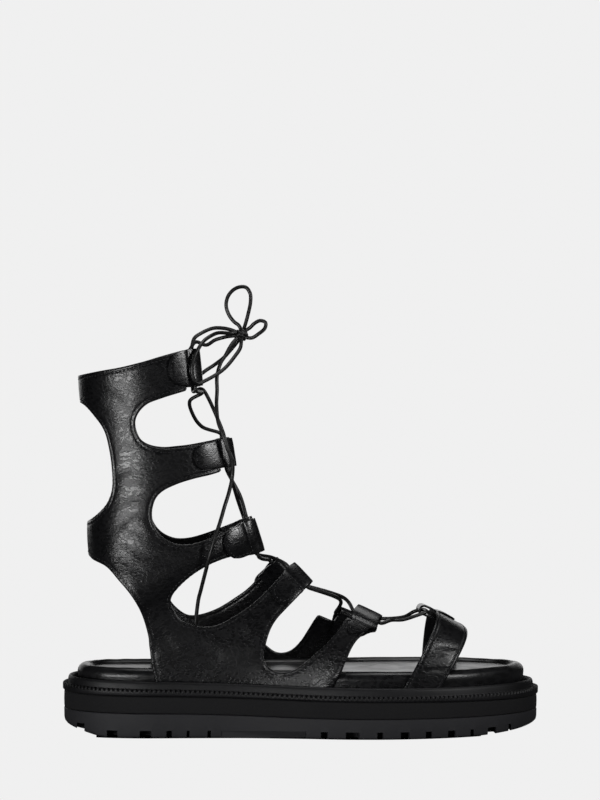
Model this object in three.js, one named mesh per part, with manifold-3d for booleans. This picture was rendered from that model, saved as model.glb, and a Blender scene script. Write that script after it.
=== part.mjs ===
// Gladiator sandal, right shoe: a lugged flatform sole with a storm welt and a padded footbed,
// a lace-up leather upper of two comb-shaped panels joined behind the leg, and a toe strap.
// Millimetres. +X points to the toe, +Y to the medial (big-toe) side, +Z up.
// The origin is below the middle of the sole's box, on the ground.
import * as THREE from 'three';
import { mergeVertices } from 'three/addons/utils/BufferGeometryUtils.js';
import Module from 'manifold-3d';

const wasm = await Module();
wasm.setup();

// ---------------------------------------------------------------- driving dimensions
const HEEL_END = -137.5; // the sole's ends, counted from where the tables begin
const TOE_END = 140;
const MIDDLE = (HEEL_END + TOE_END) / 2; // the origin comes below this
const GAP = 0.3; // clearance where two pieces meet
const WALL = 2.0; // lined leather of the upper
const LACE = 2.2; // lace diameter
const OUTLINE_STEPS = 52;
const PANEL_SEAT = 6.9; // how far inside the sole's edge the upper's wall stands
const LUG_HEIGHT = 4.3;
const LUG_DEPTH = 13;
const ARCH_DEPTH = 4;

// ---------------------------------------------------------------- short tables
// Plan outline of the sole, from the back of the heel along the lateral side and back.
const OUTLINE = [
  { x: HEEL_END, y: 0 },
  { x: -133.5, y: -17 },
  { x: -120, y: -30.5 },
  { x: -98, y: -37.5 },
  { x: -65, y: -39 },
  { x: -35, y: -40.5 },
  { x: -5, y: -45.5 },
  { x: 25, y: -51.5 },
  { x: 52, y: -52.5 },
  { x: 82, y: -47 },
  { x: 107, y: -36 },
  { x: 128.5, y: -18.5 },
  { x: TOE_END, y: 6 },
  { x: 134.5, y: 26.5 },
  { x: 116, y: 41 },
  { x: 92, y: 50 },
  { x: 62, y: 53.5 },
  { x: 30, y: 51 },
  { x: 0, y: 44 },
  { x: -30, y: 38.5 },
  { x: -62, y: 36.5 },
  { x: -95, y: 36.5 },
  { x: -120, y: 30.5 },
  { x: -133.5, y: 17 },
];

// Heights of the sole's layers along its length.
const LEVELS = [
  { x: HEEL_END, outsole: 14.2, midsole: 24.0, rand: 28.5, bead: 32.6, rim: 39.2 },
  { x: -60, outsole: 13.4, midsole: 23.0, rand: 27.0, bead: 31.0, rim: 38.0 },
  { x: 0, outsole: 11.5, midsole: 21.3, rand: 24.6, bead: 28.9, rim: 37.2 },
  { x: 60, outsole: 11.3, midsole: 20.8, rand: 24.0, bead: 28.4, rim: 37.0 },
  { x: TOE_END, outsole: 10.8, midsole: 19.0, rand: 23.9, bead: 28.0, rim: 37.2 },
];

// Gaps between the lugs along both sides of the outsole.
const LUG_GAPS = [
  { from: -129, to: -124.7 },
  { from: -112, to: -106 },
  { from: -93.6, to: -87 },
  { from: -78.6, to: -75.5 },
  { from: -67.3, to: -65.6 },
  { from: -55.6, to: -53.6 },
  { from: 7.7, to: 11.6 },
  { from: 21.5, to: 29.1 },
  { from: 39, to: 42.4 },
  { from: 52.3, to: 57.3 },
  { from: 66.6, to: 70.3 },
  { from: 79.6, to: 84.1 },
  { from: 93.1, to: 95.2 },
  { from: 103.8, to: 109 },
  { from: 117.1, to: 118.8 },
];
const ARCH_GAP = { from: -48, to: -0.4 }; // a shallow recess

// Sections of the last. Each is a closed loop between a seat point, below or behind, and a
// ridge point on the instep or shin. It is widest at a share of its length, and square says
// how boxy it is on the seat's side of that: 2 is an ellipse, 10 is nearly a corner.
const SECTIONS = [
  { seatX: 84, seatZ: 22.5, ridgeX: 84, ridgeZ: 65.5, lateral: 0, medial: 0, widest: 0.24, square: 10 },
  { seatX: 60, seatZ: 22.5, ridgeX: 64, ridgeZ: 70.6, lateral: 0, medial: 0, widest: 0.22, square: 10 },
  { seatX: 36, seatZ: 22.5, ridgeX: 46.5, ridgeZ: 74.8, lateral: 0, medial: 0, widest: 0.2, square: 10 },
  { seatX: 8, seatZ: 23, ridgeX: 31.5, ridgeZ: 79.5, lateral: 0, medial: 0, widest: 0.19, square: 10 },
  { seatX: -22, seatZ: 24, ridgeX: 16, ridgeZ: 88.5, lateral: 0, medial: 0, widest: 0.17, square: 10 },
  { seatX: -52, seatZ: 25, ridgeX: 3, ridgeZ: 97.5, lateral: 0, medial: 0, widest: 0.15, square: 10 },
  { seatX: -88, seatZ: 26, ridgeX: -9, ridgeZ: 105, lateral: 0, medial: 0, widest: 0.14, square: 8 },
  { seatX: -116, seatZ: 58, ridgeX: -17, ridgeZ: 114.5, lateral: 33.5, medial: 32, widest: 0.24, square: 4 },
  { seatX: -121.8, seatZ: 98, ridgeX: -23.5, ridgeZ: 129, lateral: 34.5, medial: 33.5, widest: 0.37, square: 2.6 },
  { seatX: -123.2, seatZ: 130, ridgeX: -30, ridgeZ: 150, lateral: 33, medial: 32.5, widest: 0.43, square: 2.2 },
  { seatX: -125.4, seatZ: 165, ridgeX: -38, ridgeZ: 176, lateral: 32, medial: 32, widest: 0.46, square: 2 },
  { seatX: -127.9, seatZ: 198, ridgeX: -47.5, ridgeZ: 203, lateral: 32.5, medial: 32.5, widest: 0.48, square: 2 },
  { seatX: -130.6, seatZ: 228, ridgeX: -56, ridgeZ: 229, lateral: 33.5, medial: 33.5, widest: 0.5, square: 2 },
];
const SECTION_ROWS = 26;
const HALF_LOOP = 14; // points on each side of a section

// Side outline of the upper, from the collar's back down the heel side and up over the arms.
// Both panels share the spine behind the arms.
const SPINE = [
  [-140, 202], [-140, 189], [-127.6, 189], [-118, 179.6], [-113.5, 172.5], [-111, 163.3], [-109.4, 152.8],
  [-109, 141], [-110.7, 133], [-114.2, 127], [-123.6, 120], [-140, 119],
  [-140, 102], [-122.7, 101.5], [-119.5, 99.4],
  [-112.2, 96], [-105.7, 89], [-99.2, 81.4], [-94, 73], [-90.8, 65], [-88.2, 54.5],
  [-87.2, 44.3], [-85, 32.6], [-84.6, 29.2],
];
const COLLAR = [[-64.2, 219.5], [-79.6, 215.5], [-92.7, 211.5], [-105.7, 208.3], [-117.5, 206.3]];
const CUT_AFTER_TAB_5 = [
  [-71.5, 194.6], [-82.2, 191.2], [-90, 188], [-94.6, 183.4], [-96.6, 178.5], [-95.9, 172.6],
  [-92.7, 166.9], [-87.5, 163.9], [-79.6, 162.6], [-71.6, 163.2], [-63.6, 164.2],
];
const CUT_AFTER_TAB_4 = [
  [-53, 148.3], [-63.8, 145.8], [-73, 142.9], [-81, 139], [-84.9, 135], [-87, 128.5],
  [-86.8, 122.6], [-84.2, 116.4], [-79.7, 111.8], [-73, 108.9], [-65.4, 108.8], [-56, 111.2],
];
const CUT_AFTER_TAB_3 = [
  [-42.5, 101.5], [-51.7, 98.6], [-57.3, 96], [-63.9, 92], [-70.5, 86.5], [-75.2, 80.8],
  [-76.5, 76.3], [-74.5, 71], [-70.7, 66], [-64.2, 63], [-56.5, 61.8], [-48.7, 63],
  [-40.9, 67], [-32.9, 71.8], [-24.6, 78.4],
];
const MEDIAL_CUT_AFTER_TAB_3 = [
  ...CUT_AFTER_TAB_3.slice(0, 8), [-65.8, 63.9], [-59, 63.6], [-48, 67.2], [-37.3, 73.8], [-29, 80.2],
];
const CUT_AFTER_TAB_2 = [
  [-10.7, 71.8], [-16.3, 66], [-19.7, 60.6], [-22.5, 52.4], [-23.5, 44], [-20.7, 39],
  [-14.7, 36.4], [-7.8, 37.3], [-1.7, 41], [5.5, 47], [12, 52.6], [19, 60.4],
];
const MEDIAL_CUT_AFTER_TAB_2 = [
  [-15, 71], [-20, 65], [-22.5, 58], [-22.5, 50], [-17, 44], [-12.4, 41], [-7.5, 40.5],
  [-2.5, 42.3], [2.5, 47.2], [6.8, 54], [11.2, 61.4], [16.4, 66.8],
];
const FRONT_EDGE = [[35, 60], [29, 55.2], [25.5, 50.5], [22, 43.2], [18.8, 36], [15.3, 29.8], [14, 25.5]];
const MEDIAL_FRONT_EDGE = [[32, 55], [27, 50], [22.5, 43.5], [18, 36], [15.3, 29.8], [14, 25.5]];

// The ends of the arms: upper and lower corner of each, in side view, and its patch length.
const TABS = {
  lateral: [
    { upper: [30.6, 75.2], lower: [44.4, 68.8], patch: 17.5 },
    { upper: [-4.7, 98.2], lower: [5.8, 87.3], patch: 24 },
    { upper: [-27.4, 123.1], lower: [-21.5, 104.6], patch: 23 },
    { upper: [-40.5, 169.1], lower: [-37.9, 153.1], patch: 25 },
    { upper: [-59.5, 219.8], lower: [-57.4, 198.8], patch: 20 },
  ],
  medial: [
    { upper: [25.2, 69.1], lower: [39.5, 62.8], patch: 16 },
    { upper: [-12.9, 99.3], lower: [-2.3, 88.3], patch: 23 },
    { upper: [-27.4, 122.8], lower: [-21.2, 104.6], patch: 23 },
    { upper: [-40.5, 169.1], lower: [-37.9, 153.1], patch: 25 },
    { upper: [-59.5, 219.8], lower: [-57.4, 198.8], patch: 20 },
  ],
};
const LOOP_LENGTH = 10; // along the arm
const LOOP_THICKNESS = 5.8;
const LOOP_HOLE = { length: 6.0, thickness: 3.0 };
const PATCH_THICKNESS = 1.3;

// The toe strap, by its rear and front edges.
const TOE_STRAP = {
  rear: { lateralX: 52.9, ridgeX: 77.6, medialX: 76, height: 42.4 },
  front: { lateralX: 74.2, ridgeX: 95.4, medialX: 97, height: 32.6 },
  base: 25.4,
  thickness: 2.2,
};
const TOE_LOOP = { x: 73, z: 68.0, length: 10.6, thickness: 6.0, width: 13 };

const FINISH = {
  upperLeather: { color: 0x0b0b0c, roughness: 0.38 },
  footbedLeather: { color: 0x0c0c0d, roughness: 0.35 },
  insoleLeather: { color: 0x1b1b1c, roughness: 0.35 },
  outsoleRubber: { color: 0x17171a, roughness: 0.7 },
  midsoleFoam: { color: 0x0d0d0e, roughness: 0.85 },
  weltRubber: { color: 0x141416, roughness: 0.6 },
  laceLeather: { color: 0x0a0a0a, roughness: 0.5 },
};

// ---------------------------------------------------------------- solids and meshes
function toSolid(geometry) {
  const bare = geometry.index ? geometry.toNonIndexed() : geometry.clone();
  for (const name of Object.keys(bare.attributes)) {
    if (name !== 'position') bare.deleteAttribute(name);
  }
  const merged = mergeVertices(bare, 1e-4);
  return new wasm.Manifold(new wasm.Mesh({
    numProp: 3,
    vertProperties: new Float32Array(merged.attributes.position.array),
    triVerts: new Uint32Array(merged.index.array),
  }));
}

function toGeometry(solid) {
  const data = solid.getMesh();
  const geometry = new THREE.BufferGeometry();
  geometry.setAttribute('position', new THREE.BufferAttribute(new Float32Array(data.vertProperties), 3));
  geometry.setIndex(new THREE.BufferAttribute(new Uint32Array(data.triVerts), 1));
  return geometry;
}

// A closed body from rings of equally many points. Caps are strips across the ring, or the
// last ring joins the first when the body is itself a ring.
function bodyOfRings(rings, { looped = false } = {}) {
  const count = rings[0].length;
  const positions = rings.flat().flatMap((p) => [p.x, p.y, p.z]);
  const index = [];
  const quad = (a, b, c, d) => index.push(a, b, c, a, c, d);
  const bands = looped ? rings.length : rings.length - 1;
  for (let row = 0; row < bands; row++) {
    const below = row * count;
    const above = ((row + 1) % rings.length) * count;
    for (let k = 0; k < count; k++) {
      const next = (k + 1) % count;
      quad(below + k, below + next, above + next, above + k);
    }
  }
  if (!looped) {
    const cap = (start, up) => {
      for (let k = 0; k < count / 2; k++) {
        const a = start + k;
        const b = start + k + 1;
        const c = start + ((count - k - 1) % count);
        const d = start + ((count - k) % count);
        const faces = [[a, b, c], [a, c, d]];
        for (const face of faces) {
          if (new Set(face).size < 3) continue;
          index.push(...(up ? face : [face[0], face[2], face[1]]));
        }
      }
    };
    cap(0, false);
    cap((rings.length - 1) * count, true);
  }
  const geometry = new THREE.BufferGeometry();
  geometry.setAttribute('position', new THREE.BufferAttribute(new Float32Array(positions), 3));
  geometry.setIndex(index);
  return facingOut(geometry);
}

// Turns the faces round when the enclosed volume comes out negative.
function facingOut(geometry) {
  const p = geometry.attributes.position;
  const index = geometry.index.array;
  const [a, b, c] = [new THREE.Vector3(), new THREE.Vector3(), new THREE.Vector3()];
  let volume = 0;
  for (let k = 0; k < index.length; k += 3) {
    a.fromBufferAttribute(p, index[k]);
    b.fromBufferAttribute(p, index[k + 1]);
    c.fromBufferAttribute(p, index[k + 2]);
    volume += a.dot(b.cross(c));
  }
  if (volume < 0) {
    for (let k = 0; k < index.length; k += 3) {
      [index[k + 1], index[k + 2]] = [index[k + 2], index[k + 1]];
    }
  }
  return geometry;
}

// A plate of the given side outline, standing between two values of Y.
function sidePrism(points, fromY, toY) {
  const shape = new THREE.Shape(points.map(([x, z]) => new THREE.Vector2(x, z)));
  const geometry = new THREE.ExtrudeGeometry(shape, { depth: toY - fromY, bevelEnabled: false, steps: 1 });
  geometry.rotateX(Math.PI / 2); // the outline's second axis becomes +Z, the depth becomes -Y
  geometry.translate(0, toY, 0);
  return toSolid(geometry);
}

function block(fromX, toX, fromY, toY, fromZ, toZ) {
  const geometry = new THREE.BoxGeometry(toX - fromX, toY - fromY, toZ - fromZ);
  geometry.translate((fromX + toX) / 2, (fromY + toY) / 2, (fromZ + toZ) / 2);
  return toSolid(geometry);
}

const object = new THREE.Group();
function addPart(name, geometry, finish) {
  geometry.translate(-MIDDLE, 0, 0);
  const material = new THREE.MeshStandardMaterial({ ...finish, metalness: 0 });
  const mesh = new THREE.Mesh(geometry, material);
  mesh.name = name;
  object.add(mesh);
}

// ---------------------------------------------------------------- interpolation
function hermite(before, from, to, after, t) {
  const slopeFrom = (to - before) / 2;
  const slopeTo = (after - from) / 2;
  const t2 = t * t;
  const t3 = t2 * t;
  return (2 * t3 - 3 * t2 + 1) * from + (t3 - 2 * t2 + t) * slopeFrom
    + (3 * t2 - 2 * t3) * to + (t3 - t2) * slopeTo;
}

// A smooth row between the rows of a table, at a place counted in rows.
function rowAt(table, place) {
  const last = table.length - 1;
  const k = Math.min(Math.floor(place), last - 1);
  const t = place - k;
  const row = {};
  for (const column of Object.keys(table[0])) {
    const from = table[k][column];
    const to = table[k + 1][column];
    const before = k > 0 ? table[k - 1][column] : 2 * from - to;
    const after = k < last - 1 ? table[k + 2][column] : 2 * to - from;
    row[column] = hermite(before, from, to, after, t);
  }
  return row;
}

function levelAt(x, column) {
  let k = 0;
  while (k < LEVELS.length - 2 && x > LEVELS[k + 1].x) k++;
  const t = THREE.MathUtils.clamp((x - LEVELS[k].x) / (LEVELS[k + 1].x - LEVELS[k].x), 0, 1);
  return THREE.MathUtils.lerp(LEVELS[k][column], LEVELS[k + 1][column], t);
}

// ---------------------------------------------------------------- sole outline
const outlineCurve = new THREE.CatmullRomCurve3(
  OUTLINE.map(({ x, y }) => new THREE.Vector3(x, y, 0)), true, 'centripetal');
const outline = outlineCurve.getPoints(OUTLINE_STEPS).slice(0, OUTLINE_STEPS);
const outlineInward = outline.map((point, k) => {
  const before = outline[(k + OUTLINE_STEPS - 1) % OUTLINE_STEPS];
  const after = outline[(k + 1) % OUTLINE_STEPS];
  return new THREE.Vector3(before.y - after.y, after.x - before.x, 0).normalize();
});

function inset(distance, height) {
  return outline.map((point, k) => {
    const moved = point.clone().addScaledVector(outlineInward[k], distance);
    moved.z = height(moved.x);
    return moved;
  });
}

// Distance of the outline from the middle line at x, on the lateral or the medial side.
function halfWidth(x, side) {
  const half = OUTLINE_STEPS / 2;
  const points = side === 'lateral'
    ? outline.slice(0, half + 1)
    : [outline[0], ...outline.slice(half).reverse()];
  for (let k = 1; k < points.length; k++) {
    if (x <= points[k].x || k === points.length - 1) {
      const t = (x - points[k - 1].x) / (points[k].x - points[k - 1].x);
      return Math.abs(THREE.MathUtils.lerp(points[k - 1].y, points[k].y, t));
    }
  }
  return 0;
}

// Underside of the outsole: bevelled behind the heel, sprung up at the toe.
const BEVEL = { from: -113, length: 24.5, rise: 6.2 };
const SPRING = { from: 92, length: 48, rise: 3.8 };
function undersideAt(x) {
  const heel = THREE.MathUtils.clamp((BEVEL.from - x) / BEVEL.length, 0, 1);
  const toe = THREE.MathUtils.clamp((x - SPRING.from) / SPRING.length, 0, 1);
  return BEVEL.rise * heel ** 1.25 + SPRING.rise * toe ** 2;
}

// ---------------------------------------------------------------- sole
function makeOutsole() {
  const top = (x) => levelAt(x, 'outsole');
  const body = toSolid(bodyOfRings([
    inset(3.2, undersideAt),
    inset(1.2, (x) => undersideAt(x) + 1.4),
    inset(0.8, (x) => top(x) - 1),
    inset(1.0, top),
  ]));
  const below = -1;
  const wide = 70;
  const gapAt = ({ from, to }, depth) => {
    const middle = (from + to) / 2;
    const ceiling = undersideAt(middle) + LUG_HEIGHT;
    const lateral = halfWidth(middle, 'lateral') - depth;
    const medial = halfWidth(middle, 'medial') - depth;
    return block(from, to, -wide, -lateral, below, ceiling)
      .add(block(from, to, medial, wide, below, ceiling));
  };
  let cuts = gapAt(ARCH_GAP, ARCH_DEPTH);
  for (const gap of LUG_GAPS) cuts = cuts.add(gapAt(gap, LUG_DEPTH));
  return toGeometry(body.subtract(cuts));
}

function makeMidsole() {
  const bottom = (x) => levelAt(x, 'outsole') + GAP;
  const top = (x) => levelAt(x, 'midsole');
  return bodyOfRings([
    inset(1.4, bottom),
    inset(0.9, (x) => bottom(x) + 0.8),
    inset(0.9, (x) => top(x) - 0.8),
    inset(1.4, top),
  ]);
}

// The welt is a ring: an outer rand, a groove, a raised bead, and a seat for the upper.
const WELT_SLOT = 2.2;
function makeWelt() {
  const above = (column, rise) => (x) => levelAt(x, column) + rise;
  const bottom = above('midsole', GAP);
  const seat = above('midsole', GAP + WELT_SLOT);
  return bodyOfRings([
    inset(8.0, bottom),
    inset(0.4, bottom),
    inset(0, above('midsole', 1.0)),
    inset(0, above('rand', -0.6)),
    inset(0.6, above('rand', 0)),
    inset(2.1, above('rand', 0)),
    inset(2.6, above('rand', -1.0)),
    inset(3.0, above('rand', 0.4)),
    inset(3.4, above('bead', -1.2)),
    inset(4.2, above('bead', 0)),
    inset(4.7, above('bead', -0.2)),
    inset(5.2, above('bead', -1.3)),
    inset(5.2, seat),
    inset(8.0, seat),
  ], { looped: true });
}

const RIM_INNER = 16.6;
const RECESS = 3.6; // insole recess below the rim's top
function makeFootbed() {
  const above = (column, rise) => (x) => levelAt(x, column) + rise;
  return bodyOfRings([
    inset(9.6, above('midsole', GAP)),
    inset(8.8, above('midsole', 2.6)),
    inset(8.8, above('rim', -6)),
    inset(9.1, above('rim', -3.2)),
    inset(10.0, above('rim', -1.2)),
    inset(11.2, above('rim', -0.2)),
    inset(12.8, above('rim', 0)),
    inset(14.4, above('rim', -0.4)),
    inset(15.8, above('rim', -1.6)),
    inset(RIM_INNER, above('rim', -RECESS)),
  ]);
}

const INSOLE_TOP = 1.9; // below the rim's top
function makeInsole() {
  const above = (rise) => (x) => levelAt(x, 'rim') + rise;
  const edge = RIM_INNER + GAP + 0.1;
  return bodyOfRings([
    inset(edge + 0.3, above(-RECESS + GAP)),
    inset(edge, above(-INSOLE_TOP - 0.5)),
    inset(edge + 0.6, above(-INSOLE_TOP)),
  ]);
}

// ---------------------------------------------------------------- last and upper
// Foot sections take their width from the sole, leg sections have their own.
function sectionAt(place) {
  const row = rowAt(SECTIONS, place);
  const firstLegRow = SECTIONS.findIndex((section) => section.lateral > 0);
  for (const side of ['lateral', 'medial']) {
    const footWidth = halfWidth(row.seatX, side) - PANEL_SEAT;
    const blend = THREE.MathUtils.clamp(place - (firstLegRow - 1), 0, 1);
    const legRow = rowAt(SECTIONS, Math.max(place, firstLegRow));
    row[side] = THREE.MathUtils.lerp(footWidth, legRow[side], blend);
  }
  return row;
}

// A point of the last: angle 0 is the seat, PI the ridge; sign picks the side.
function lastPoint(section, angle, sign) {
  const share = angle < Math.PI / 2
    ? section.widest * (1 - Math.cos(angle))
    : section.widest - (1 - section.widest) * Math.cos(angle);
  const width = sign < 0 ? section.lateral : section.medial;
  const towardsSeat = Math.max(0, Math.cos(angle));
  const bulge = angle < Math.PI / 2
    ? (1 - towardsSeat ** section.square) ** (1 / section.square)
    : Math.sin(angle);
  return new THREE.Vector3(
    THREE.MathUtils.lerp(section.seatX, section.ridgeX, share),
    sign * width * bulge,
    THREE.MathUtils.lerp(section.seatZ, section.ridgeZ, share));
}

// The last's surface as rings, moved along its normal.
function lastRings(offset, overrun) {
  const lastPlace = SECTIONS.length - 1;
  const grid = [];
  for (let row = 0; row <= SECTION_ROWS; row++) {
    const section = sectionAt((lastPlace * row) / SECTION_ROWS);
    const ring = [];
    for (let k = 0; k < 2 * HALF_LOOP; k++) {
      const turn = (Math.PI * k) / HALF_LOOP;
      ring.push(turn <= Math.PI ? lastPoint(section, turn, -1) : lastPoint(section, 2 * Math.PI - turn, 1));
    }
    grid.push(ring);
  }
  const moved = grid.map((ring, row) => ring.map((point, k) => {
    const along = grid[Math.min(row + 1, SECTION_ROWS)][k].clone().sub(grid[Math.max(row - 1, 0)][k]);
    const count = ring.length;
    const around = ring[(k + 1) % count].clone().sub(ring[(k + count - 1) % count]);
    return point.clone().addScaledVector(around.cross(along).normalize(), offset);
  }));
  if (overrun) {
    moved[0] = moved[0].map((p) => p.clone().add(new THREE.Vector3(overrun, 0, 0)));
    moved[SECTION_ROWS] = moved[SECTION_ROWS].map((p) => p.clone().add(new THREE.Vector3(0, 0, overrun)));
  }
  return moved;
}

function lastSolid(offset, overrun = 0) {
  return toSolid(bodyOfRings(lastRings(offset, overrun)));
}

// The end of an arm in side view: a unit vector along the arm, and the corners set back.
function armEnd({ upper, lower }, back) {
  const width = [lower[0] - upper[0], lower[1] - upper[1]];
  const size = Math.hypot(...width);
  const forward = [-width[1] / size, width[0] / size];
  const shift = ([x, z]) => [x - forward[0] * back, z - forward[1] * back];
  return { forward, upper: shift(upper), lower: shift(lower), size };
}

// Side outline of one panel, its arms running to the ends of the lace loops.
function panelOutline(side) {
  const [one, two, three, four, five] = TABS[side];
  const lateral = side === 'lateral';
  return [
    ...SPINE,
    ...(lateral ? FRONT_EDGE : MEDIAL_FRONT_EDGE).slice().reverse(),
    one.lower, one.upper,
    ...(lateral ? CUT_AFTER_TAB_2 : MEDIAL_CUT_AFTER_TAB_2).slice().reverse(),
    two.lower, two.upper,
    ...(lateral ? CUT_AFTER_TAB_3 : MEDIAL_CUT_AFTER_TAB_3).slice().reverse(),
    three.lower, three.upper,
    ...CUT_AFTER_TAB_4.slice().reverse(),
    four.lower, four.upper,
    ...CUT_AFTER_TAB_5.slice().reverse(),
    five.lower, five.upper,
    ...COLLAR,
  ];
}

// The end of each arm is cut off where its lace loop stands.
const END_MARGIN = 5.5;
function armEndCutter(tab, sign) {
  const { forward, upper, lower, size } = armEnd(tab, LOOP_LENGTH + GAP + 0.3);
  const along = [(upper[0] - lower[0]) / size, (upper[1] - lower[1]) / size];
  const move = ([x, z], up, ahead) => [
    x + along[0] * up + forward[0] * ahead,
    z + along[1] * up + forward[1] * ahead,
  ];
  const ahead = LOOP_LENGTH + 2 * END_MARGIN;
  const points = [
    move(lower, -END_MARGIN, 0),
    move(lower, -END_MARGIN, ahead),
    move(upper, END_MARGIN, ahead),
    move(upper, END_MARGIN, 0),
  ];
  return sign < 0 ? sidePrism(points, -FAR, 0) : sidePrism(points, 0, FAR);
}

const FAR = 90;
const SEAM_OVERLAP = 0.05;
function makeUpper() {
  const shell = lastSolid(WALL / 2).subtract(lastSolid(-WALL / 2, 12));
  const lateral = shell.intersect(sidePrism(panelOutline('lateral'), -FAR, SEAM_OVERLAP));
  const medial = shell.intersect(sidePrism(panelOutline('medial'), -SEAM_OVERLAP, FAR));
  let upper = lateral.add(medial);
  for (const tab of TABS.lateral) upper = upper.subtract(armEndCutter(tab, -1));
  for (const tab of TABS.medial) upper = upper.subtract(armEndCutter(tab, 1));
  return upper;
}

// ---------------------------------------------------------------- lace loops
// Finds the last's point at a place in side view, with its outward normal.
function surfaceAt([x, z], sign) {
  const lastPlace = SECTIONS.length - 1;
  const sideOf = (place) => {
    const s = sectionAt(place);
    return (s.ridgeX - s.seatX) * (z - s.seatZ) - (s.ridgeZ - s.seatZ) * (x - s.seatX);
  };
  let low = 0;
  let high = lastPlace;
  for (let step = 0; step < 40; step++) {
    const middle = (low + high) / 2;
    if (sideOf(middle) > 0) low = middle;
    else high = middle;
  }
  const at = (place, angle) => lastPoint(sectionAt(THREE.MathUtils.clamp(place, 0, lastPlace)), angle, sign);
  const section = sectionAt(low);
  const length = Math.hypot(section.ridgeX - section.seatX, section.ridgeZ - section.seatZ);
  const share = Math.hypot(x - section.seatX, z - section.seatZ) / length;
  const angle = share < section.widest
    ? Math.acos(1 - share / section.widest)
    : Math.acos((section.widest - share) / (1 - section.widest));
  const point = at(low, angle);
  const along = at(low + 0.02, angle).sub(at(low - 0.02, angle));
  const around = at(low, angle + 0.01).sub(at(low, angle - 0.01));
  const normal = around.cross(along).normalize();
  if (normal.y * sign < 0) normal.negate();
  return { point, normal };
}

// A flat tube with round edges, open at both ends, along the local Z axis.
function stadium(length, thickness) {
  const r = thickness / 2;
  const straight = length / 2 - r;
  const shape = new THREE.Shape();
  shape.moveTo(-straight, -r);
  shape.lineTo(straight, -r);
  shape.absarc(straight, 0, r, -Math.PI / 2, Math.PI / 2, false);
  shape.lineTo(-straight, r);
  shape.absarc(-straight, 0, r, Math.PI / 2, (3 * Math.PI) / 2, false);
  return shape;
}

function loopTube(outer, hole, width) {
  const shape = stadium(outer.length, outer.thickness);
  shape.holes.push(stadium(hole.length, hole.thickness));
  const geometry = new THREE.ExtrudeGeometry(shape, { depth: width, bevelEnabled: false, curveSegments: 3 });
  geometry.translate(0, 0, -width / 2);
  return geometry;
}

// Where each lace loop stands: centre, the arm's direction, its outward normal and its width.
function loopPlace(tab, sign) {
  const middle = (a, b) => [(a[0] + b[0]) / 2, (a[1] + b[1]) / 2];
  const end = armEnd(tab, LOOP_LENGTH / 2);
  const centre = surfaceAt(middle(end.upper, end.lower), sign);
  const upper = surfaceAt(end.upper, sign).point;
  const lower = surfaceAt(end.lower, sign).point;
  const across = upper.clone().sub(lower);
  const width = across.length() - 0.8;
  across.normalize();
  const normal = centre.normal.clone().addScaledVector(across, -centre.normal.dot(across)).normalize();
  const forward = new THREE.Vector3().crossVectors(across, normal);
  if (forward.x * end.forward[0] + forward.z * end.forward[1] < 0) forward.negate();
  return { centre: centre.point, across, normal, forward, width, side2d: end };
}

const PATCH_LIFT = WALL / 2 + GAP;
const patchShell = lastSolid(PATCH_LIFT + PATCH_THICKNESS).subtract(lastSolid(PATCH_LIFT, 12));
function makeLoop(tab, sign) {
  const place = loopPlace(tab, sign);
  const outer = { length: LOOP_LENGTH, thickness: LOOP_THICKNESS };
  const geometry = loopTube(outer, LOOP_HOLE, place.width);
  const zAxis = new THREE.Vector3().crossVectors(place.forward, place.normal);
  const matrix = new THREE.Matrix4().makeBasis(place.forward, place.normal, zAxis);
  matrix.setPosition(place.centre.clone().addScaledVector(place.normal, -0.3));
  geometry.applyMatrix4(matrix);
  const tube = toSolid(geometry);
  // the patch: a plate with a round back end, wrapped on the arm's outside
  const { upper, lower, forward, size } = armEnd(tab, LOOP_LENGTH / 2);
  const reach = tab.patch - LOOP_LENGTH / 2;
  const radius = size * 0.5 - 1.6;
  const middle = [(upper[0] + lower[0]) / 2, (upper[1] + lower[1]) / 2];
  const acrossX = (upper[0] - lower[0]) / size;
  const acrossZ = (upper[1] - lower[1]) / size;
  const corner = (back, side) => [
    middle[0] - forward[0] * back + acrossX * side,
    middle[1] - forward[1] * back + acrossZ * side,
  ];
  const points = [corner(0, radius), corner(0, -radius)];
  const arcSteps = 5;
  for (let step = 0; step <= arcSteps; step++) {
    const turn = -Math.PI / 2 + (Math.PI * step) / arcSteps;
    points.push(corner(reach - radius * (1 - Math.cos(turn)), radius * Math.sin(turn)));
  }
  const prism = sign < 0 ? sidePrism(points, -FAR, 0) : sidePrism(points, 0, FAR);
  return tube.add(patchShell.intersect(prism));
}

// ---------------------------------------------------------------- toe strap
const TOE_SQUARE = 0.62; // below 1 the arch stands steeper at its sides and flatter on top
const TOE_SEAT = PANEL_SEAT - 0.2; // the strap is flat where the sole's edge is curved
function toePoint(edge, angle, lift) {
  const rise = Math.sin(angle);
  const near = angle < Math.PI / 2;
  const x = THREE.MathUtils.lerp(near ? edge.lateralX : edge.medialX, edge.ridgeX, rise);
  const half = near
    ? halfWidth(edge.lateralX, 'lateral') - TOE_SEAT
    : halfWidth(edge.medialX, 'medial') - TOE_SEAT;
  return new THREE.Vector3(
    x,
    -(half + lift) * Math.sign(Math.cos(angle)) * Math.abs(Math.cos(angle)) ** TOE_SQUARE,
    TOE_STRAP.base + (edge.height + lift) * rise);
}

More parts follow.
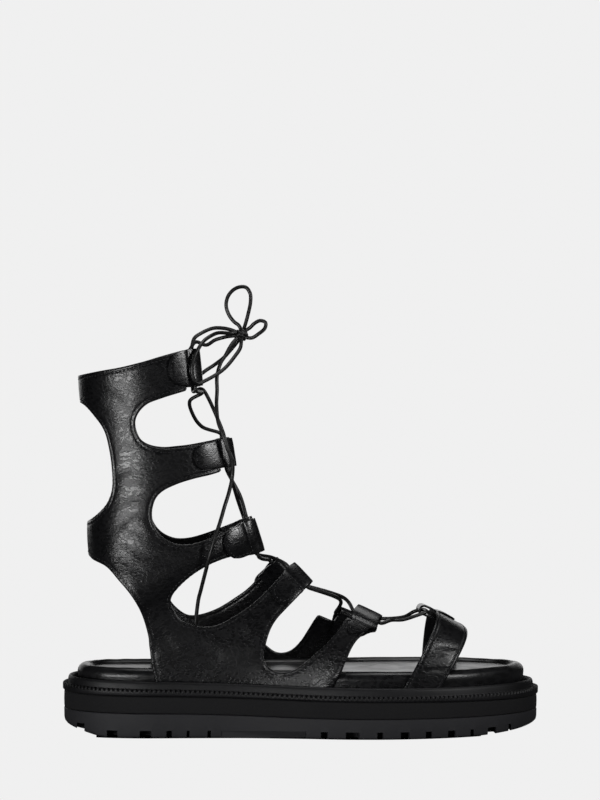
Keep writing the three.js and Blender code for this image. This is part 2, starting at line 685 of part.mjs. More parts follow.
function makeToeStrap() {
  const steps = 24;
  const halfThick = TOE_STRAP.thickness / 2;
  const rings = [];
  for (let step = 0; step <= steps; step++) {
    const angle = (Math.PI * step) / steps;
    rings.push([
      toePoint(TOE_STRAP.rear, angle, halfThick),
      toePoint(TOE_STRAP.front, angle, halfThick),
      toePoint(TOE_STRAP.front, angle, -halfThick),
      toePoint(TOE_STRAP.rear, angle, -halfThick),
    ]);
  }
  const band = toSolid(bodyOfRings(rings));
  const tube = loopTube(TOE_LOOP, LOOP_HOLE, TOE_LOOP.width);
  const tilt = -0.42;
  const matrix = new THREE.Matrix4().makeRotationY(-tilt).multiply(new THREE.Matrix4().makeRotationX(Math.PI / 2));
  tube.applyMatrix4(matrix);
  tube.translate(TOE_LOOP.x, 0, TOE_LOOP.z);
  return toGeometry(band.add(toSolid(tube)));
}

// ---------------------------------------------------------------- laces
// Where the strands of each crossing touch, and how the slack ones bend below and above that.
const STRAIGHT = { below: [], above: [] };
const CROSSINGS = [
  { meet: [22, -2, 77.5], fromLateral: STRAIGHT, fromMedial: STRAIGHT },
  { meet: [-17.5, 0, 98.5], fromLateral: STRAIGHT, fromMedial: STRAIGHT },
  { meet: [-36.5, 0, 134.5], fromLateral: STRAIGHT, fromMedial: STRAIGHT },
  {
    meet: [-57.4, -4, 194.8],
    fromLateral: STRAIGHT,
    fromMedial: { below: [[-57.2, 12, 174.8], [-62.9, 5, 182], [-64.8, -1, 190]], above: [] },
  },
];

// Free cords of the bow, each a list of points from its knot end.
const KNOT = { x: -35.4, y: -1, z: 228, radius: 5 };
const BOW = {
  lace_bow_up: [
    [-36.6, 1, 233.8], [-39.2, 1.5, 235.8], [-42.4, 2, 240.2], [-43.9, 2, 245.2], [-43, 2, 250.2],
    [-40.2, 2, 254], [-36.2, 2, 256.1], [-32.4, 2, 255.9], [-30, 1.5, 252.4], [-29.8, 1, 247.4],
    [-31.2, 0.5, 240.4], [-33, 0.5, 233.8],
  ],
  lace_bow_small: [
    [-30.2, -3, 232.4], [-28, -4, 234.6], [-24.6, -4.5, 236.4], [-21.4, -5, 235.3], [-21.8, -5.5, 232],
    [-25.6, -5.5, 228.6], [-29.2, -4, 226.4],
  ],
  lace_bow_large: [
    [-42, -5, 229], [-48.6, -12, 229], [-53.1, -19, 227.2], [-57.6, -24, 224], [-60.8, -28.5, 219.6],
    [-62.9, -30.2, 215.3], [-64.4, -31.2, 209.9], [-64.3, -31.2, 204.5], [-62.9, -30.4, 200.6],
    [-60.3, -29, 199.7], [-57.7, -27.2, 200.9], [-53.3, -24, 203.2], [-47.7, -19.5, 206.7],
    [-44.1, -16, 209.9], [-39.5, -11, 215.4], [-36, -6.5, 220.6],
  ],
  lace_end_long: [
    [-40.4, -6.4, 223.4], [-42.6, -9, 220.1], [-45, -12, 215.7], [-47.8, -15.5, 211.4],
    [-49.9, -18, 204], [-49.9, -19.5, 195.8], [-50.3, -22, 187.7], [-49.4, -26, 177.5],
    [-46.6, -28.5, 170.1], [-44.4, -29, 162.9], [-41.5, -28, 155.9], [-41.4, -26.5, 147],
    [-43.3, -28, 138.2], [-45.9, -31, 130.3], [-48.7, -35.5, 121.4], [-51.9, -37.8, 111.9],
    [-54.8, -37.5, 101.8], [-56.7, -34.5, 93.7], [-59.4, -30.5, 82.2], [-60.5, -28.5, 77.5],
    [-62.1, -26, 63], [-63, -25.5, 52], [-63.4, -25.5, 43],
  ],
  lace_end_short: [
    [-38.6, 2.4, 222.6], [-42.9, 1, 217.6], [-45.3, 0, 215], [-50.6, -2, 210.9],
    [-55.9, -5, 207.4], [-60.6, -8, 203.6],
  ],
};
const LEADS = {
  lateral: [[-62.9, -19.5, 225.6], [-58.7, -16.5, 228.7], [-52, -11, 231.6], [-45.6, -6, 231.8], [-40.6, -3, 230.8]],
  medial: [[-61, 18, 224.5], [-55, 13, 222.6], [-49.9, 9, 225.5], [-43.5, 5.5, 227.3], [-41, 3.6, 227.6]],
};

function cord(points, stepLength = 6) {
  const curve = new THREE.CatmullRomCurve3(points, false, 'centripetal');
  const steps = Math.max(4, Math.round(curve.getLength() / stepLength));
  const section = new THREE.Shape();
  const sides = 8;
  for (let k = 0; k < sides; k++) {
    const turn = (2 * Math.PI * k) / sides;
    const [x, y] = [(LACE / 2) * Math.cos(turn), (LACE / 2) * Math.sin(turn)];
    if (k === 0) section.moveTo(x, y);
    else section.lineTo(x, y);
  }
  section.closePath();
  return new THREE.ExtrudeGeometry(section, { steps, extrudePath: curve, bevelEnabled: false });
}

const places = { lateral: [], medial: [] };
for (const [side, sign] of [['lateral', -1], ['medial', 1]]) {
  for (const tab of TABS[side]) places[side].push(loopPlace(tab, sign));
}

// The mouth of a loop, just clear of its upper or lower end.
function mouth(side, number, end) {
  const { centre, across, normal, width } = places[side][number - 1];
  const reach = width / 2 + GAP + 0.3;
  return centre.clone().addScaledVector(normal, -0.3).addScaledVector(across, end * reach);
}

function straightOut(side, number, end, far) {
  const { across } = places[side][number - 1];
  return mouth(side, number, end).addScaledVector(across, end * far);
}

// The crossing between two pairs of loops: two strands that touch where they cross.
// Each strand runs up from one side's loop to the other side's next loop.
function makeCrossing(number) {
  const { meet, fromLateral, fromMedial } = CROSSINGS[number - 1];
  const strands = [['lateral', 'medial', fromLateral], ['medial', 'lateral', fromMedial]];
  let solid = null;
  for (const [from, to, bend] of strands) {
    const points = [
      mouth(from, number, 1),
      straightOut(from, number, 1, 2.2),
      ...bend.below.map((p) => new THREE.Vector3(...p)),
      new THREE.Vector3(...meet),
      ...bend.above.map((p) => new THREE.Vector3(...p)),
      straightOut(to, number + 1, -1, 2.2),
      mouth(to, number + 1, -1),
    ];
    const strand = toSolid(cord(points, 5));
    solid = solid ? solid.add(strand) : strand;
  }
  return toGeometry(solid);
}

// From the lowest lateral loop through the toe loop and back to the lowest medial one.
function makeToeSpan() {
  const through = TOE_LOOP.width / 2;
  const z = TOE_LOOP.z;
  const x = TOE_LOOP.x;
  return cord([
    mouth('lateral', 1, -1),
    straightOut('lateral', 1, -1, 3),
    new THREE.Vector3(51.4, -15, 64),
    new THREE.Vector3(58, -12.8, 64),
    new THREE.Vector3(66.8, -10.6, 66.4),
    new THREE.Vector3(x - 0.6, -through - 1.6, z),
    new THREE.Vector3(x, -through * 0.7, z),
    new THREE.Vector3(x, through * 0.7, z),
    new THREE.Vector3(x - 0.6, through + 1.6, z),
    new THREE.Vector3(67.6, 10.4, 66.8),
    new THREE.Vector3(61.8, 11.5, 63.6),
    new THREE.Vector3(54.5, 13.5, 62.2),
    straightOut('medial', 1, -1, 3),
    mouth('medial', 1, -1),
  ], 4.6);
}

// From a top loop to the knot.
function makeLead(side) {
  const top = TABS[side].length;
  const route = LEADS[side].map((p) => new THREE.Vector3(...p));
  return cord([mouth(side, top, 1), ...route], 5);
}

function makeKnot() {
  const geometry = new THREE.SphereGeometry(KNOT.radius, 10, 6);
  geometry.translate(KNOT.x, KNOT.y, KNOT.z);
  return geometry;
}

// ---------------------------------------------------------------- assembly
addPart('outsole', makeOutsole(), FINISH.outsoleRubber);
addPart('midsole', makeMidsole(), FINISH.midsoleFoam);
addPart('welt', makeWelt(), FINISH.weltRubber);
addPart('footbed', makeFootbed(), FINISH.footbedLeather);
addPart('insole', makeInsole(), FINISH.insoleLeather);
addPart('upper', toGeometry(makeUpper()), FINISH.upperLeather);
addPart('toe_strap', makeToeStrap(), FINISH.upperLeather);
for (const [side, sign] of [['lateral', -1], ['medial', 1]]) {
  TABS[side].forEach((tab, k) => {
    addPart(`loop_${side}_${k + 1}`, toGeometry(makeLoop(tab, sign)), FINISH.upperLeather);
  });
}
addPart('lace_toe_span', makeToeSpan(), FINISH.laceLeather);
for (let number = 1; number < TABS.lateral.length; number++) {
  addPart(`lace_crossing_${number}`, makeCrossing(number), FINISH.laceLeather);
}

addPart('lace_knot', makeKnot(), FINISH.laceLeather);
for (const side of ['lateral', 'medial']) addPart(`lace_lead_${side}`, makeLead(side), FINISH.laceLeather);
for (const [name, route] of Object.entries(BOW)) {
  addPart(name, cord(route.map((p) => new THREE.Vector3(...p))), FINISH.laceLeather);
}

export default object;
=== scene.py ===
# %% [markdown]
# # A gladiator sandal, built as its maker would
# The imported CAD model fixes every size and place. This lesson dresses it: each piece of the
# shoe is made again as a fine mesh in the same millimetres, and then given its material.
# The frame comes first, because every later piece reads its place from it.

# %% The frame
import math
import random

import bmesh
import bpy
import numpy as np
from mathutils import Matrix, Vector, geometry, kdtree, noise


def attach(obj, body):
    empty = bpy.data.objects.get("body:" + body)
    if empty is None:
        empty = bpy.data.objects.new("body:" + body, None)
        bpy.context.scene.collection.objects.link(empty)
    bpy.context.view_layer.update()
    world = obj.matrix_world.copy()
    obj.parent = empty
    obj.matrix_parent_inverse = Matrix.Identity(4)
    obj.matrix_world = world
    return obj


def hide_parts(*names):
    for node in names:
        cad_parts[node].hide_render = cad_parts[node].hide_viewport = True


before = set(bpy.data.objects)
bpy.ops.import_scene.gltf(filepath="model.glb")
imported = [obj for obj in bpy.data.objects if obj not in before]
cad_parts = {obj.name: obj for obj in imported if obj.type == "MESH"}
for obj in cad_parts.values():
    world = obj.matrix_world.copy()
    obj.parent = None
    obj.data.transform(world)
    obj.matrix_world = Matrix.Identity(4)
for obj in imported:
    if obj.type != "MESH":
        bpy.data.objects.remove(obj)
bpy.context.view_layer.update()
MM = 0.001
MIDDLE = 1.25  # the tables count from this far ahead of the origin
print("nodes in the frame:", len(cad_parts))

# %% [markdown]
# ## Camera
# The camera stands at ankle height, a little behind the shoe's middle, and looks at its
# lateral side with a long lens, so that the sole runs nearly level from end to end. It could
# be aimed with a constraint; plain angles are surer, because nothing else can move it.

# %% Camera
CAMERA_PLACE = (-0.10595, -1.3688, 0.1847)
CAMERA_ANGLES = (-4.335, 0.246, 0.138)  # yaw, pitch and roll, in degrees


def make_camera():
    data = bpy.data.cameras.new("camera")
    data.lens = 106.4
    data.sensor_width = 36
    data.clip_end = 20
    camera = bpy.data.objects.new("camera", data)
    bpy.context.collection.objects.link(camera)
    yaw, pitch, roll = (math.radians(angle) for angle in CAMERA_ANGLES)
    turn = Matrix.Rotation(yaw, 4, "Z") @ Matrix.Rotation(math.pi / 2 + pitch, 4, "X")
    turn = turn @ Matrix.Rotation(roll, 4, "Z")
    camera.matrix_world = Matrix.Translation(CAMERA_PLACE) @ turn
    bpy.context.scene.camera = camera
    return camera


camera = make_camera()
print("camera at", [round(v, 3) for v in camera.location])

# %% [markdown]
# ## Small tools
# Every piece is a mesh made from points in millimetres. These helpers turn points and faces
# into an object, shade it smooth, and let it ride on the shoe's one body.

# %% Mesh helpers
def in_metres(point):
    return ((point[0] - MIDDLE) * MM, point[1] * MM, point[2] * MM)


def add_mesh(name, points, faces, material, sharp=40):
    mesh = bpy.data.meshes.new(name)
    mesh.from_pydata([in_metres(p) for p in points], [], faces)
    mesh.validate()
    work = bmesh.new()
    work.from_mesh(mesh)
    bmesh.ops.recalc_face_normals(work, faces=work.faces)
    work.to_mesh(mesh)
    work.free()
    mesh.shade_smooth()
    mesh.set_sharp_from_angle(angle=math.radians(sharp))
    mesh.materials.append(material)
    piece = bpy.data.objects.new(name, mesh)
    bpy.context.collection.objects.link(piece)
    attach(piece, "root")
    return piece


def stands_for(piece, slot, *nodes):
    if nodes:
        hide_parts(*nodes)
    print(f"{piece.name}: {len(piece.data.polygons) if piece.type == 'MESH' else 'curve'} faces")
    return piece

# %% [markdown]
# Most of the sole's pieces are stacks of rings, one above the other, so one helper joins any
# stack into a closed body. Extruding by hand would do the same once, but a list of rings can
# be changed and run again.

# %% Bodies from rings
def ring_faces(rings, count, looped, caps=True):
    faces = []
    bands = rings if looped else rings - 1
    for row in range(bands):
        below, above = row * count, ((row + 1) % rings) * count
        for k in range(count):
            nxt = (k + 1) % count
            faces.append((below + k, below + nxt, above + nxt, above + k))
    if caps and not looped:
        for start in (0, (rings - 1) * count):
            for k in range(count // 2):
                quad = [start + k, start + k + 1, start + (count - k - 1) % count,
                        start + (count - k) % count]
                face = list(dict.fromkeys(quad))
                if len(face) > 2:
                    faces.append(tuple(face))
    return faces


def body_of_rings(name, rings, material, looped=False, sharp=40):
    points = [p for ring in rings for p in ring]
    return add_mesh(name, points, ring_faces(len(rings), len(rings[0]), looped), material, sharp)


print("helpers ready: meshes, rings and bodies")

# %% [markdown]
# A cubic through the rows of a short table gives a smooth value anywhere between them. The
# shoe's outline, its layers and its last all come from such tables, the same ones that the
# CAD part uses.

# %% Smooth tables and curves
def hermite(before, start, end, after, t):
    slope_start, slope_end = (end - before) / 2, (after - start) / 2
    t2, t3 = t * t, t * t * t
    return ((2 * t3 - 3 * t2 + 1) * start + (t3 - 2 * t2 + t) * slope_start
            + (3 * t2 - 2 * t3) * end + (t3 - t2) * slope_end)


def row_at(table, place):
    last = len(table) - 1
    k = min(int(place), last - 1)
    here, there = table[k], table[k + 1]
    before = table[k - 1] if k > 0 else 2 * here - there
    after = table[k + 2] if k < last - 1 else 2 * there - here
    return hermite(before, here, there, after, place - k)


def smooth_path(points, step, closed=False):
    """A centripetal Catmull-Rom curve through the points, sampled about every step."""
    pts = [np.array(p, float) for p in points]
    if closed:
        pts = [pts[-1]] + pts + pts[:2]
    else:
        pts = [2 * pts[0] - pts[1]] + pts + [2 * pts[-1] - pts[-2]]
    out = []
    for k in range(1, len(pts) - 2):
        p0, p1, p2, p3 = pts[k - 1:k + 3]
        d1, d2, d3 = (max(np.linalg.norm(b - a), 1e-6) ** 0.5 for a, b in ((p0, p1), (p1, p2), (p2, p3)))
        m1 = d2 * ((p1 - p0) / d1 - (p2 - p0) / (d1 + d2) + (p2 - p1) / d2)
        m2 = d2 * ((p2 - p1) / d2 - (p3 - p1) / (d2 + d3) + (p3 - p2) / d3)
        count = max(1, int(round(np.linalg.norm(p2 - p1) / step)))
        for n in range(count):
            t = n / count
            out.append((2 * t**3 - 3 * t**2 + 1) * p1 + (t**3 - 2 * t**2 + t) * m1
                       + (3 * t**2 - 2 * t**3) * p2 + (t**3 - t**2) * m2)
    if not closed:
        out.append(pts[-2])
    return np.array(out)


def respaced(path, step, closed=False):
    """The same path with its points evenly spaced."""
    pts = np.vstack([path, path[:1]]) if closed else path
    lengths = np.concatenate([[0], np.cumsum(np.linalg.norm(np.diff(pts, axis=0), axis=1))])
    count = max(2, int(round(lengths[-1] / step)))
    at = np.linspace(0, lengths[-1], count + 1)
    if closed:
        at = at[:-1]
    return np.stack([np.interp(at, lengths, pts[:, c]) for c in range(pts.shape[1])], axis=1)


print("a curve through 3 points, sampled:", len(smooth_path([(0, 0), (5, 2), (10, 0)], 1.0)), "points")

# %% [markdown]
# ## Materials
# A shader node group holds each effect that more than one material uses. *Leather grain*
# mixes a fine pebble with long shallow creases; *handling* gives slow patches of polish and
# dust. Both put out only values that change over the surface, so they feed roughness, colour
# and the height of a bump node; the shader itself stays in each material.

# %% Node groups
def new_group(name, inputs, outputs):
    group = bpy.data.node_groups.new(name, "ShaderNodeTree")
    for label, value in inputs:
        socket = group.interface.new_socket(label, in_out="INPUT", socket_type="NodeSocketFloat")
        socket.default_value = value
    for label in outputs:
        group.interface.new_socket(label, in_out="OUTPUT", socket_type="NodeSocketFloat")
    start = group.nodes.new("NodeGroupInput")
    end = group.nodes.new("NodeGroupOutput")
    return group, start, end


def node(tree, kind, links=(), **values):
    """A node with its settings, and links as (socket, source output) pairs."""
    made = tree.nodes.new(kind)
    for key, value in values.items():
        setattr(made, key, value)
    for socket, source in links:
        if hasattr(source, "is_linked"):
            tree.links.new(source, made.inputs[socket])
        else:
            made.inputs[socket].default_value = source
    return made


def math_node(tree, operation, a, b=0.0):
    return node(tree, "ShaderNodeMath", [(0, a), (1, b)], operation=operation).outputs[0]


def map_range(tree, value, low, high, to_low=0.0, to_high=1.0):
    made = node(tree, "ShaderNodeMapRange", [(0, value), (1, low), (2, high), (3, to_low), (4, to_high)])
    made.interpolation_type = "SMOOTHSTEP"
    return made.outputs[0]

# %% [markdown]
# Black glossy leather is smooth to the hand but full of fine wrinkles, which break a highlight
# into short strokes. They could be modelled, but they are thinner than a tenth of a
# millimetre, so a height for a bump node is enough: lines where a stretched noise passes
# through its middle value, with the hide's pebble between them.

# %% Leather grain
WRINKLE_SPREAD = 0.11  # how far from the noise's middle value a wrinkle's side reaches
PEBBLE_SHARE = 0.15  # the pebble's height beside a wrinkle's depth


def build_grain_group():
    group, start, end = new_group(
        "leather grain", [("Pebble per metre", 900.0), ("Crease per metre", 120.0),
                          ("Crease depth", 0.5)], ["Height", "Hollow"])
    where = node(group, "ShaderNodeTexCoord").outputs["Object"]
    warp = node(group, "ShaderNodeTexNoise", [("Vector", where), ("Scale", 60.0), ("Detail", 2.0)])
    moved = node(group, "ShaderNodeVectorMath", [(0, warp.outputs["Color"]), (1, (0.003, 0.003, 0.003))],
                 operation="MULTIPLY").outputs[0]
    place = node(group, "ShaderNodeVectorMath", [(0, where), (1, moved)], operation="ADD").outputs[0]
    pebble = node(group, "ShaderNodeTexVoronoi", [("Vector", place), ("Scale", start.outputs[0])],
                  feature="DISTANCE_TO_EDGE").outputs["Distance"]
    plump = map_range(group, pebble, 0.0, 0.35)
    # stretched along the leg's slope, because a hide's fine wrinkles all run one way
    slant = node(group, "ShaderNodeMapping", [("Vector", place), ("Rotation", (0, 0.6, 0)),
                                              ("Scale", (0.62, 0.8, 1.15))]).outputs[0]
    crease = node(group, "ShaderNodeTexNoise", [("Vector", slant), ("Scale", start.outputs[1]),
                                                ("Detail", 3.0), ("Roughness", 0.55)])
    off_line = math_node(group, "SUBTRACT", crease.outputs["Fac"], 0.5)
    off_line = math_node(group, "ABSOLUTE", off_line)
    folds = math_node(group, "SUBTRACT", 1.0, map_range(group, off_line, 0.0, WRINKLE_SPREAD))
    dip = math_node(group, "MULTIPLY", folds, start.outputs[2])
    height = math_node(group, "SUBTRACT", math_node(group, "MULTIPLY", plump, PEBBLE_SHARE), dip)
    group.links.new(height, end.inputs[0])
    group.links.new(folds, end.inputs[1])
    return group

# %% [markdown]
# Hands polish leather and rubber in slow patches, and dust settles in specks. Two noises of
# very different size give both, so that no surface shines the same all over.

# %% Handling
def build_handling_group():
    group, start, end = new_group("handling", [("Patches per metre", 30.0), ("Specks per metre", 1500.0)],
                                  ["Polish", "Dust"])
    where = node(group, "ShaderNodeTexCoord").outputs["Object"]
    slow = node(group, "ShaderNodeTexNoise", [("Vector", where), ("Scale", start.outputs[0]),
                                              ("Detail", 4.0)]).outputs["Fac"]
    fine = node(group, "ShaderNodeTexNoise", [("Vector", where), ("Scale", start.outputs[1]),
                                              ("Detail", 2.0)]).outputs["Fac"]
    group.links.new(map_range(group, slow, 0.35, 0.65), end.inputs[0])
    group.links.new(map_range(group, fine, 0.62, 0.78), end.inputs[1])
    return group


grain_group = build_grain_group()
handling_group = build_handling_group()
print("node groups:", grain_group.name, "and", handling_group.name)

# %% [markdown]
# The leathers are one recipe with other numbers: near-black base, a soft gloss that the grain
# and the handling break up, and a thin clear finish coat. The rubber and foam are matte, with
# a fine moulded texture and a little dust.

# %% Leather
def start_material(name):
    material = bpy.data.materials.new(name)
    material.use_nodes = True
    tree = material.node_tree
    tree.nodes.clear()
    shader = node(tree, "ShaderNodeBsdfPrincipled")
    node(tree, "ShaderNodeOutputMaterial", [(0, shader.outputs[0])])
    return material, tree, shader


def mixed_colour(tree, fac, low, high):
    mix = node(tree, "ShaderNodeMix", data_type="RGBA")
    tree.links.new(fac, mix.inputs[0])
    mix.inputs[6].default_value = (*low, 1)
    mix.inputs[7].default_value = (*high, 1)
    return mix.outputs[2]


def leather(name, base, light, rough, polish, pebble, crease, depth, bump, coat=0.25):
    """Two colours, the roughness and how much polish takes off it, then the grain's numbers."""
    material, tree, shader = start_material(name)
    grain = node(tree, "ShaderNodeGroup", node_tree=grain_group)
    grain.inputs[0].default_value = pebble
    grain.inputs[1].default_value = crease
    grain.inputs[2].default_value = depth
    handling = node(tree, "ShaderNodeGroup", node_tree=handling_group)
    tree.links.new(mixed_colour(tree, grain.outputs["Hollow"], base, light), shader.inputs["Base Color"])
    worn = math_node(tree, "MULTIPLY", handling.outputs["Polish"], polish)
    dull = math_node(tree, "MULTIPLY", grain.outputs["Hollow"], 0.08)
    roughness = math_node(tree, "ADD", math_node(tree, "SUBTRACT", rough, worn), dull)
    tree.links.new(roughness, shader.inputs["Roughness"])
    relief = node(tree, "ShaderNodeBump", [("Height", grain.outputs["Height"]), ("Strength", bump),
                                           ("Distance", 0.00022)])
    tree.links.new(relief.outputs[0], shader.inputs["Normal"])
    shader.inputs["Coat Weight"].default_value = coat
    shader.inputs["Coat Roughness"].default_value = 0.22
    shader.inputs["Specular IOR Level"].default_value = 0.5
    return material


BLACK, SOFT_BLACK = (0.0045, 0.0045, 0.0052), (0.008, 0.008, 0.009)
upper_leather = leather("upper leather", BLACK, SOFT_BLACK, 0.29, 0.05, 1100, 380, 0.7, 0.36, coat=0.06)
footbed_leather = leather("footbed leather", BLACK, SOFT_BLACK, 0.32, 0.06, 1100, 240, 0.6, 0.30, coat=0.12)
insole_leather = leather("insole leather", (0.010, 0.010, 0.011), (0.016, 0.016, 0.018), 0.34, 0.06,
                         1100, 70, 0.3, 0.15)
patch_leather = leather("patch leather", BLACK, SOFT_BLACK, 0.25, 0.05, 1000, 360, 0.6, 0.20, coat=0.20)
lace_leather = leather("lace leather", (0.007, 0.007, 0.007), (0.014, 0.014, 0.014), 0.44, 0.08,
                       1600, 260, 0.4, 0.25, coat=0.15)
print("leathers:", len(bpy.data.materials))

# %% [markdown]
# Rubber and foam come out of a mould with its fine texture and hardly any gloss, and foam is
# the duller of the two. Waxed thread is the same recipe with a finer texture. One function
# makes all four, so that they stay a family and only their numbers differ.

# %% Rubber, foam and thread
def moulded(name, base, light, rough, texture, bump, speck=0.1):
    material, tree, shader = start_material(name)
    handling = node(tree, "ShaderNodeGroup", node_tree=handling_group)
    where = node(tree, "ShaderNodeTexCoord").outputs["Object"]
    fine = node(tree, "ShaderNodeTexNoise", [("Vector", where), ("Scale", texture), ("Detail", 3.0)])
    shade = math_node(tree, "ADD", math_node(tree, "MULTIPLY", handling.outputs["Polish"], 0.5),
                      math_node(tree, "MULTIPLY", handling.outputs["Dust"], speck))
    tree.links.new(mixed_colour(tree, shade, base, light), shader.inputs["Base Color"])
    spread = math_node(tree, "MULTIPLY", handling.outputs["Polish"], 0.08)
    tree.links.new(math_node(tree, "ADD", spread, rough), shader.inputs["Roughness"])
    relief = node(tree, "ShaderNodeBump", [("Height", fine.outputs["Fac"]), ("Strength", bump),
                                           ("Distance", 0.0003)])
    tree.links.new(relief.outputs[0], shader.inputs["Normal"])
    shader.inputs["Specular IOR Level"].default_value = 0.4
    return material


outsole_rubber = moulded("outsole rubber", (0.022, 0.022, 0.025), (0.030, 0.030, 0.034), 0.62, 2200, 0.3)
midsole_foam = moulded("midsole foam", (0.009, 0.009, 0.010), (0.013, 0.013, 0.014), 0.85, 1800, 0.6)
welt_rubber = moulded("welt rubber", (0.006, 0.006, 0.007), (0.010, 0.010, 0.012), 0.46, 2600, 0.2)
thread = moulded("waxed thread", (0.018, 0.018, 0.020), (0.036, 0.036, 0.038), 0.38, 5000, 0.5)
print("materials:", len(bpy.data.materials))

# %% [markdown]
# ## The sole's outline and layers
# A flatform sole is a stack of slices of one outline, each a little inside or outside it.
# The outline is a closed smooth curve through a short list of points, and an inset moves it
# inwards along its own normals.

# %% Outline and levels
OUTLINE = np.array([
    (-137.5, 0), (-133.5, -17), (-120, -30.5), (-98, -37.5), (-65, -39), (-35, -40.5), (-5, -45.5),
    (25, -51.5), (52, -52.5), (82, -47), (107, -36), (128.5, -18.5), (140, 6), (134.5, 26.5), (116, 41),
    (92, 50), (62, 53.5), (30, 51), (0, 44), (-30, 38.5), (-62, 36.5), (-95, 36.5), (-120, 30.5),
    (-133.5, 17)], float)
LEVEL_X = (-137.5, -60, 0, 60, 140)
LEVELS = {
    "outsole": (14.2, 13.4, 11.5, 11.3, 10.8),
    "midsole": (24.0, 23.0, 21.3, 20.8, 19.0),
    "rand": (28.5, 27.0, 24.6, 24.0, 23.9),
    "bead": (32.6, 31.0, 28.9, 28.4, 28.0),
    "rim": (39.2, 38.0, 37.2, 37.0, 37.2),
}


def level(x, name):
    """The straight table, rounded over 24 mm so that no kink shows in a gloss."""
    reach = (-12, -6, 0, 6, 12)
    return float(np.mean([np.interp(x + d, LEVEL_X, LEVELS[name]) for d in reach]))

# %% [markdown]
# A stack needs every slice to have the same number of points, so the curve is sampled evenly
# from heel to toe on each side. A scaled copy of the outline would be thinner at the toe than
# at the sides; moving each point along its own normal keeps an even margin.

# %% Slices of the outline
def outline_points(count):
    path = respaced(smooth_path(OUTLINE, 1.0, closed=True), 0.5, closed=True)
    start = int(np.argmin(path[:, 0]))
    path = np.roll(path, -start, axis=0)
    front = int(np.argmax(path[:, 0]))
    half = count // 2
    sides = [path[:front + 1], np.vstack([path[front:], path[:1]])]
    return np.vstack([respaced(side, np.linalg.norm(np.diff(side, axis=0), axis=1).sum() / half)[:-1]
                      for side in sides])


def inset(outline, distance, height):
    before, after = np.roll(outline, 1, axis=0), np.roll(outline, -1, axis=0)
    normal = np.stack([before[:, 1] - after[:, 1], after[:, 0] - before[:, 0]], axis=1)
    normal /= np.linalg.norm(normal, axis=1)[:, None]
    distance = np.broadcast_to(distance, len(outline))
    flat = outline + normal * np.asarray(distance)[:, None]
    return [(x, y, height(x)) for x, y in flat]


def raised(name, rise):
    return lambda x: level(x, name) + rise


fine_outline = outline_points(360)


def half_width(x, side):
    front = int(np.argmax(fine_outline[:, 0]))
    if side == "lateral":
        part = fine_outline[:front + 1]
    else:
        part = np.vstack([fine_outline[:1], fine_outline[front:][::-1]])
    return float(abs(np.interp(x, part[:, 0], part[:, 1])))


print("outline length", round(float(np.linalg.norm(np.diff(fine_outline, axis=0), axis=1).sum())), "mm")

# %% [markdown]
# ## The last
# A shoe is made round a last, so the upper's surface is worked out the same way: as closed
# sections that lean from across the foot to around the leg. A place counts along the
# sections, and a turn goes round one, from the seat at 0 to the ridge at half a circle,
# negative on the lateral side. With the inverse of that, a pattern drawn in side view can be
# laid on the last, and everything that is sewn to the upper follows it.

# %% The last's surface
LAST = np.array([  # seat x, seat z, ridge x, ridge z, lateral, medial, widest, square
    (84, 22.5, 84, 65.5, 0, 0, 0.24, 10), (60, 22.5, 64, 70.6, 0, 0, 0.22, 10),
    (36, 22.5, 46.5, 74.8, 0, 0, 0.2, 10), (8, 23, 31.5, 79.5, 0, 0, 0.19, 10),
    (-22, 24, 16, 88.5, 0, 0, 0.17, 10), (-52, 25, 3, 97.5, 0, 0, 0.15, 10),
    (-88, 26, -9, 105, 0, 0, 0.14, 8), (-116, 58, -17, 114.5, 33.5, 32, 0.24, 4),
    (-121.8, 98, -23.5, 129, 34.5, 33.5, 0.37, 2.6), (-123.2, 130, -30, 150, 33, 32.5, 0.43, 2.2),
    (-125.4, 165, -38, 176, 32, 32, 0.46, 2), (-127.9, 198, -47.5, 203, 32.5, 32.5, 0.48, 2),
    (-130.6, 228, -56, 229, 33.5, 33.5, 0.5, 2)])
FIRST_LEG_ROW = 7
PANEL_SEAT = 6.9
LAST_END = len(LAST) - 1


def last_section(place):
    row = row_at(LAST, place).copy()
    blend = min(max(place - (FIRST_LEG_ROW - 1), 0), 1)
    leg = row_at(LAST, max(place, FIRST_LEG_ROW))
    for column, side in ((4, "lateral"), (5, "medial")):
        foot = half_width(row[0], side) - PANEL_SEAT
        row[column] = foot + (leg[column] - foot) * blend
    return row


PLACES = np.linspace(0, LAST_END, 40 * LAST_END + 1)
FINE_LAST = np.array([last_section(place) for place in PLACES])


def section_at(place):
    return [np.interp(place, PLACES, FINE_LAST[:, column]) for column in range(8)]


def last_point(place, turn):
    seat_x, seat_z, ridge_x, ridge_z, lateral, medial, widest, square = section_at(place)
    angle = np.abs(turn)
    low = angle < math.pi / 2
    share = widest * (1 - np.cos(angle))
    share = np.where(low, share, widest - (1 - widest) * np.cos(angle))
    toward_seat = np.clip(np.cos(angle), 0, 1)
    bulge = np.where(low, (1 - toward_seat ** square) ** (1 / square), np.sin(angle))
    width = np.where(turn < 0, lateral, medial)
    return np.stack([seat_x + (ridge_x - seat_x) * share, np.sign(turn) * width * bulge,
                     seat_z + (ridge_z - seat_z) * share], axis=-1)


def last_slopes(place, turn, reach=0.01):
    """How the last's point moves with the place and with the turn."""
    above, below = np.minimum(place + reach, LAST_END), np.maximum(place - reach, 0)
    along = (last_point(above, turn) - last_point(below, turn)) / (above - below)[..., None]
    around = (last_point(place, turn + reach) - last_point(place, turn - reach)) / (2 * reach)
    return along, around


def last_normal(place, turn):
    along, around = last_slopes(place, turn)
    normal = np.cross(along, around)
    return normal / np.linalg.norm(normal, axis=-1, keepdims=True)

